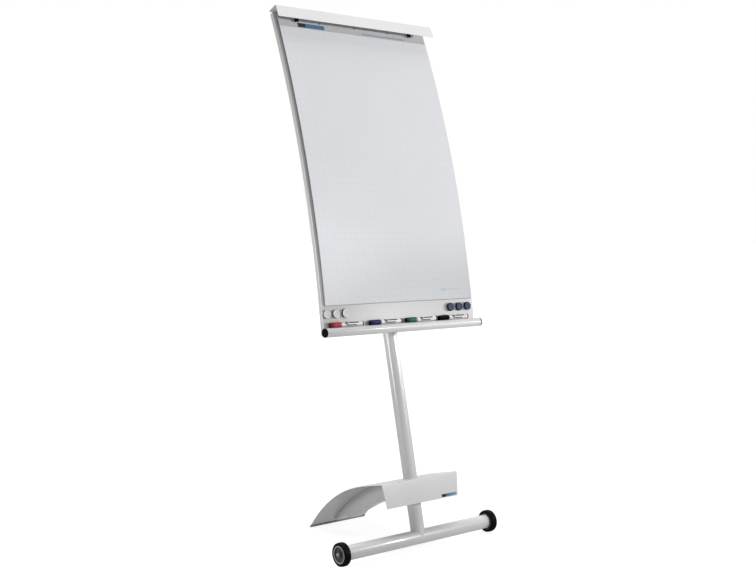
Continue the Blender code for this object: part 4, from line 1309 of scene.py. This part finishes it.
def make_marker(name):
    """A marker lying in the trough between the tube and the board, with its cap to the left."""
    start_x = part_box(f"marker_{name}_cap")[0].x
    out = MARKER_CAP_RADIUS + GAP
    reach = TRAY_RADIUS + MARKER_CAP_RADIUS + GAP
    s = TRAY_S + sqrt(reach ** 2 - (TRAY_OUT - out) ** 2)
    place = board_frame(s, out, start_x)
    radius = MARKER_CAP_RADIUS
    length = MARKER_CAP_LENGTH
    bore = MARKER_NECK_RADIUS + GAP
    cap = [(0.0, 0.0), (0.0, 0.005), (0.0004, 0.0062), (0.0014, 0.0074), (0.003, 0.0083), (0.005, 0.0087),
           (0.016, 0.0092), (0.0165, 0.0094), (0.026, radius), (length - 0.012, radius - 0.0001),
           (length - 0.006, radius - 0.0004), (length - 0.003, radius - 0.0009),
           (length - 0.001, radius - 0.0016), (length, radius - 0.0026), (length, bore), (0.012, bore),
           (0.012, 0.0)]

    def ribs(angle, along, point_radius):
        if CAP_RIB_ENDS[0] < along < CAP_RIB_ENDS[1] and point_radius > CAP_RIB_RADIUS:
            return along, point_radius - CAP_RIB_DEPTH * (0.5 + 0.5 * cos(CAP_RIBS * angle)) ** 2
        return along, point_radius

    piece(f"marker_{name}_cap", turned(cap, TUBE_STEPS, ribs), name, place)
    body = length + GAP
    plug = MARKER_LENGTH - MARKER_PLUG_LENGTH
    barrel = [(0.013, 0.0), (0.013, 0.002), (0.0145, 0.003), (0.022, 0.004), (0.024, MARKER_NECK_RADIUS),
              (body, MARKER_NECK_RADIUS), (body, MARKER_RADIUS - 0.0003), (body + 0.0003, MARKER_RADIUS),
              (plug - 2 * GAP, MARKER_RADIUS), (plug - GAP, MARKER_RADIUS - 0.0003), (plug - GAP, 0.0)]
    piece(f"marker_{name}_barrel", turned(barrel, ROUND_STEPS), "barrel", place)
    tip = MARKER_LENGTH
    end = [(plug, 0.0), (plug, MARKER_RADIUS - 0.0003), (plug + 0.0003, MARKER_RADIUS),
           (tip - 0.0028, MARKER_RADIUS), (tip - 0.0012, 0.008), (tip - 0.0003, 0.0068), (tip, 0.0052),
           (tip, 0.003), (tip - 0.001, 0.0026), (tip - 0.001, 0.0)]
    piece(f"marker_{name}_end_plug", turned(end, ROUND_STEPS), name, place)


def make_magnet(colour, number):
    """A round magnet with a coloured face, a rounded rim and a side painted darker as shade."""
    node = f"magnet_{colour}_{number}"
    low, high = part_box(node)
    place = board_frame(MAGNET_S, 0.0, (low.x + high.x) / 2) @ OUT
    face = GAP + MAGNET_THICKNESS
    radius = MAGNET_RADIUS
    rim = [(face - MAGNET_RIM * (1 - sin(angle)), radius - MAGNET_RIM * (1 - cos(angle)))
           for angle in steps_between(0.0, pi / 2, 6)]
    back = [(GAP, 0.0), (GAP, radius - 0.001), (GAP + 0.0006, radius - 0.0003), (GAP + 0.0016, radius)]
    front = [(face - 0.0001, radius - 0.0028), (face - 0.0002, 0.006), (face - 0.0002, 0.0)]
    magnet = piece(node, turned(back + rim + front), f"magnet_{colour}", place)
    # Painted shade: the side wall below the face takes the darker copy of the plastic.
    repaint(magnet, f"magnet_{colour}_side", lambda centre: centre.x < face - MAGNET_FACE_DEPTH)


# Stage

def make_camera():
    data = bpy.data.cameras.new("camera")
    data.sensor_width = CAMERA_SENSOR
    data.lens = CAMERA_LENS
    data.clip_end = 200.0
    camera = bpy.data.objects.new("camera", data)
    camera.location = CAMERA_PLACE
    camera.rotation_euler = (radians(90) - CAMERA_DIP, 0.0, CAMERA_HEADING)
    link(camera)
    bpy.context.scene.camera = camera


def add_light(name, data, power, direction, place=(0.0, 0.0, 0.0)):
    """Put a light in the scene that shines from a direction."""
    data.energy = power
    light = bpy.data.objects.new(name, data)
    light.location = place
    light.rotation_mode = "QUATERNION"
    light.rotation_quaternion = Vector(direction).to_track_quat("Z", "Y")
    link(light)


def make_lights():
    for name, place, target, power, cone, radius, blend in SOFTBOXES:
        spot = bpy.data.lights.new(name, "SPOT")
        spot.spot_size = radians(cone)
        spot.spot_blend = blend
        spot.shadow_soft_size = radius
        add_light(name, spot, power, Vector(place) - Vector(target), place)
    sun = bpy.data.lights.new("top_light", "SUN")
    sun.angle = TOP_LIGHT_SPREAD
    add_light("top_light", sun, TOP_LIGHT_STRENGTH, TOP_LIGHT_DIRECTION)


def make_world():
    """A white backdrop, seen and mirrored at full strength, that adds only a little even light."""
    world = bpy.data.worlds.new("studio")
    world.use_nodes = True
    nodes = Nodes(world.node_tree)
    background = world.node_tree.nodes["Background"].inputs
    background["Color"].default_value = grey(1.0)
    rays = nodes.add("LightPath").outputs
    seen = nodes.calc("MAXIMUM", rays["Is Camera Ray"], rays["Is Glossy Ray"])
    nodes.feed(background["Strength"], nodes.remap(seen, WORLD_FILL, 1.0))
    bpy.context.scene.world = world


def make_floor():
    """A pale floor that glows more to the camera than it lights the object, so shadows on it stay weak."""
    look = Look("pale_floor", specular=0.1)
    look.sockets["Emission Color"].default_value = grey(1.0)
    seen = look.add("LightPath").outputs["Is Camera Ray"]
    look.feed(look.sockets["Emission Strength"], look.remap(seen, FLOOR_BOUNCE, FLOOR_GLOW))
    tone = look.noise(2.0, 3.0)
    material = look.finish(look.mixed(tone, grey(0.22), grey(0.24)), look.remap(tone, 0.75, 0.85))
    mesh = bmesh.new()
    bmesh.ops.create_grid(mesh, x_segments=4, y_segments=4, size=FLOOR_SIZE)
    floor = new_object("floor", mesh, material, at(z=-0.0002))


def main():
    for side, name in SIDES:
        make_wheel(side, name)
    make_crossbar()
    make_mast()
    make_foot_sheet()
    make_foot_spine()
    make_foot_edge_strip()
    make_foot_label()
    make_board()
    make_crossmember("crossmember_lower", LOWER_MEMBER_S)
    make_crossmember("crossmember_upper", UPPER_MEMBER_S)
    make_bracket("lower_bracket", LOWER_BRACKET_ENDS, LOWER_BOLT_S)
    make_bracket("upper_bracket", UPPER_BRACKET_ENDS, UPPER_MEMBER_S)
    make_tray()
    make_pad()
    for side, name in SIDES:
        make_hook(side, name)
    make_rail()
    for name in ("red", "blue", "green", "black"):
        make_marker(name)
    for number in (1, 2, 3):
        make_magnet("white", number)
        make_magnet("blue", number)
    bpy.context.scene.view_settings.view_transform = "Standard"
    make_camera()
    make_lights()
    make_world()
    make_floor()


main()
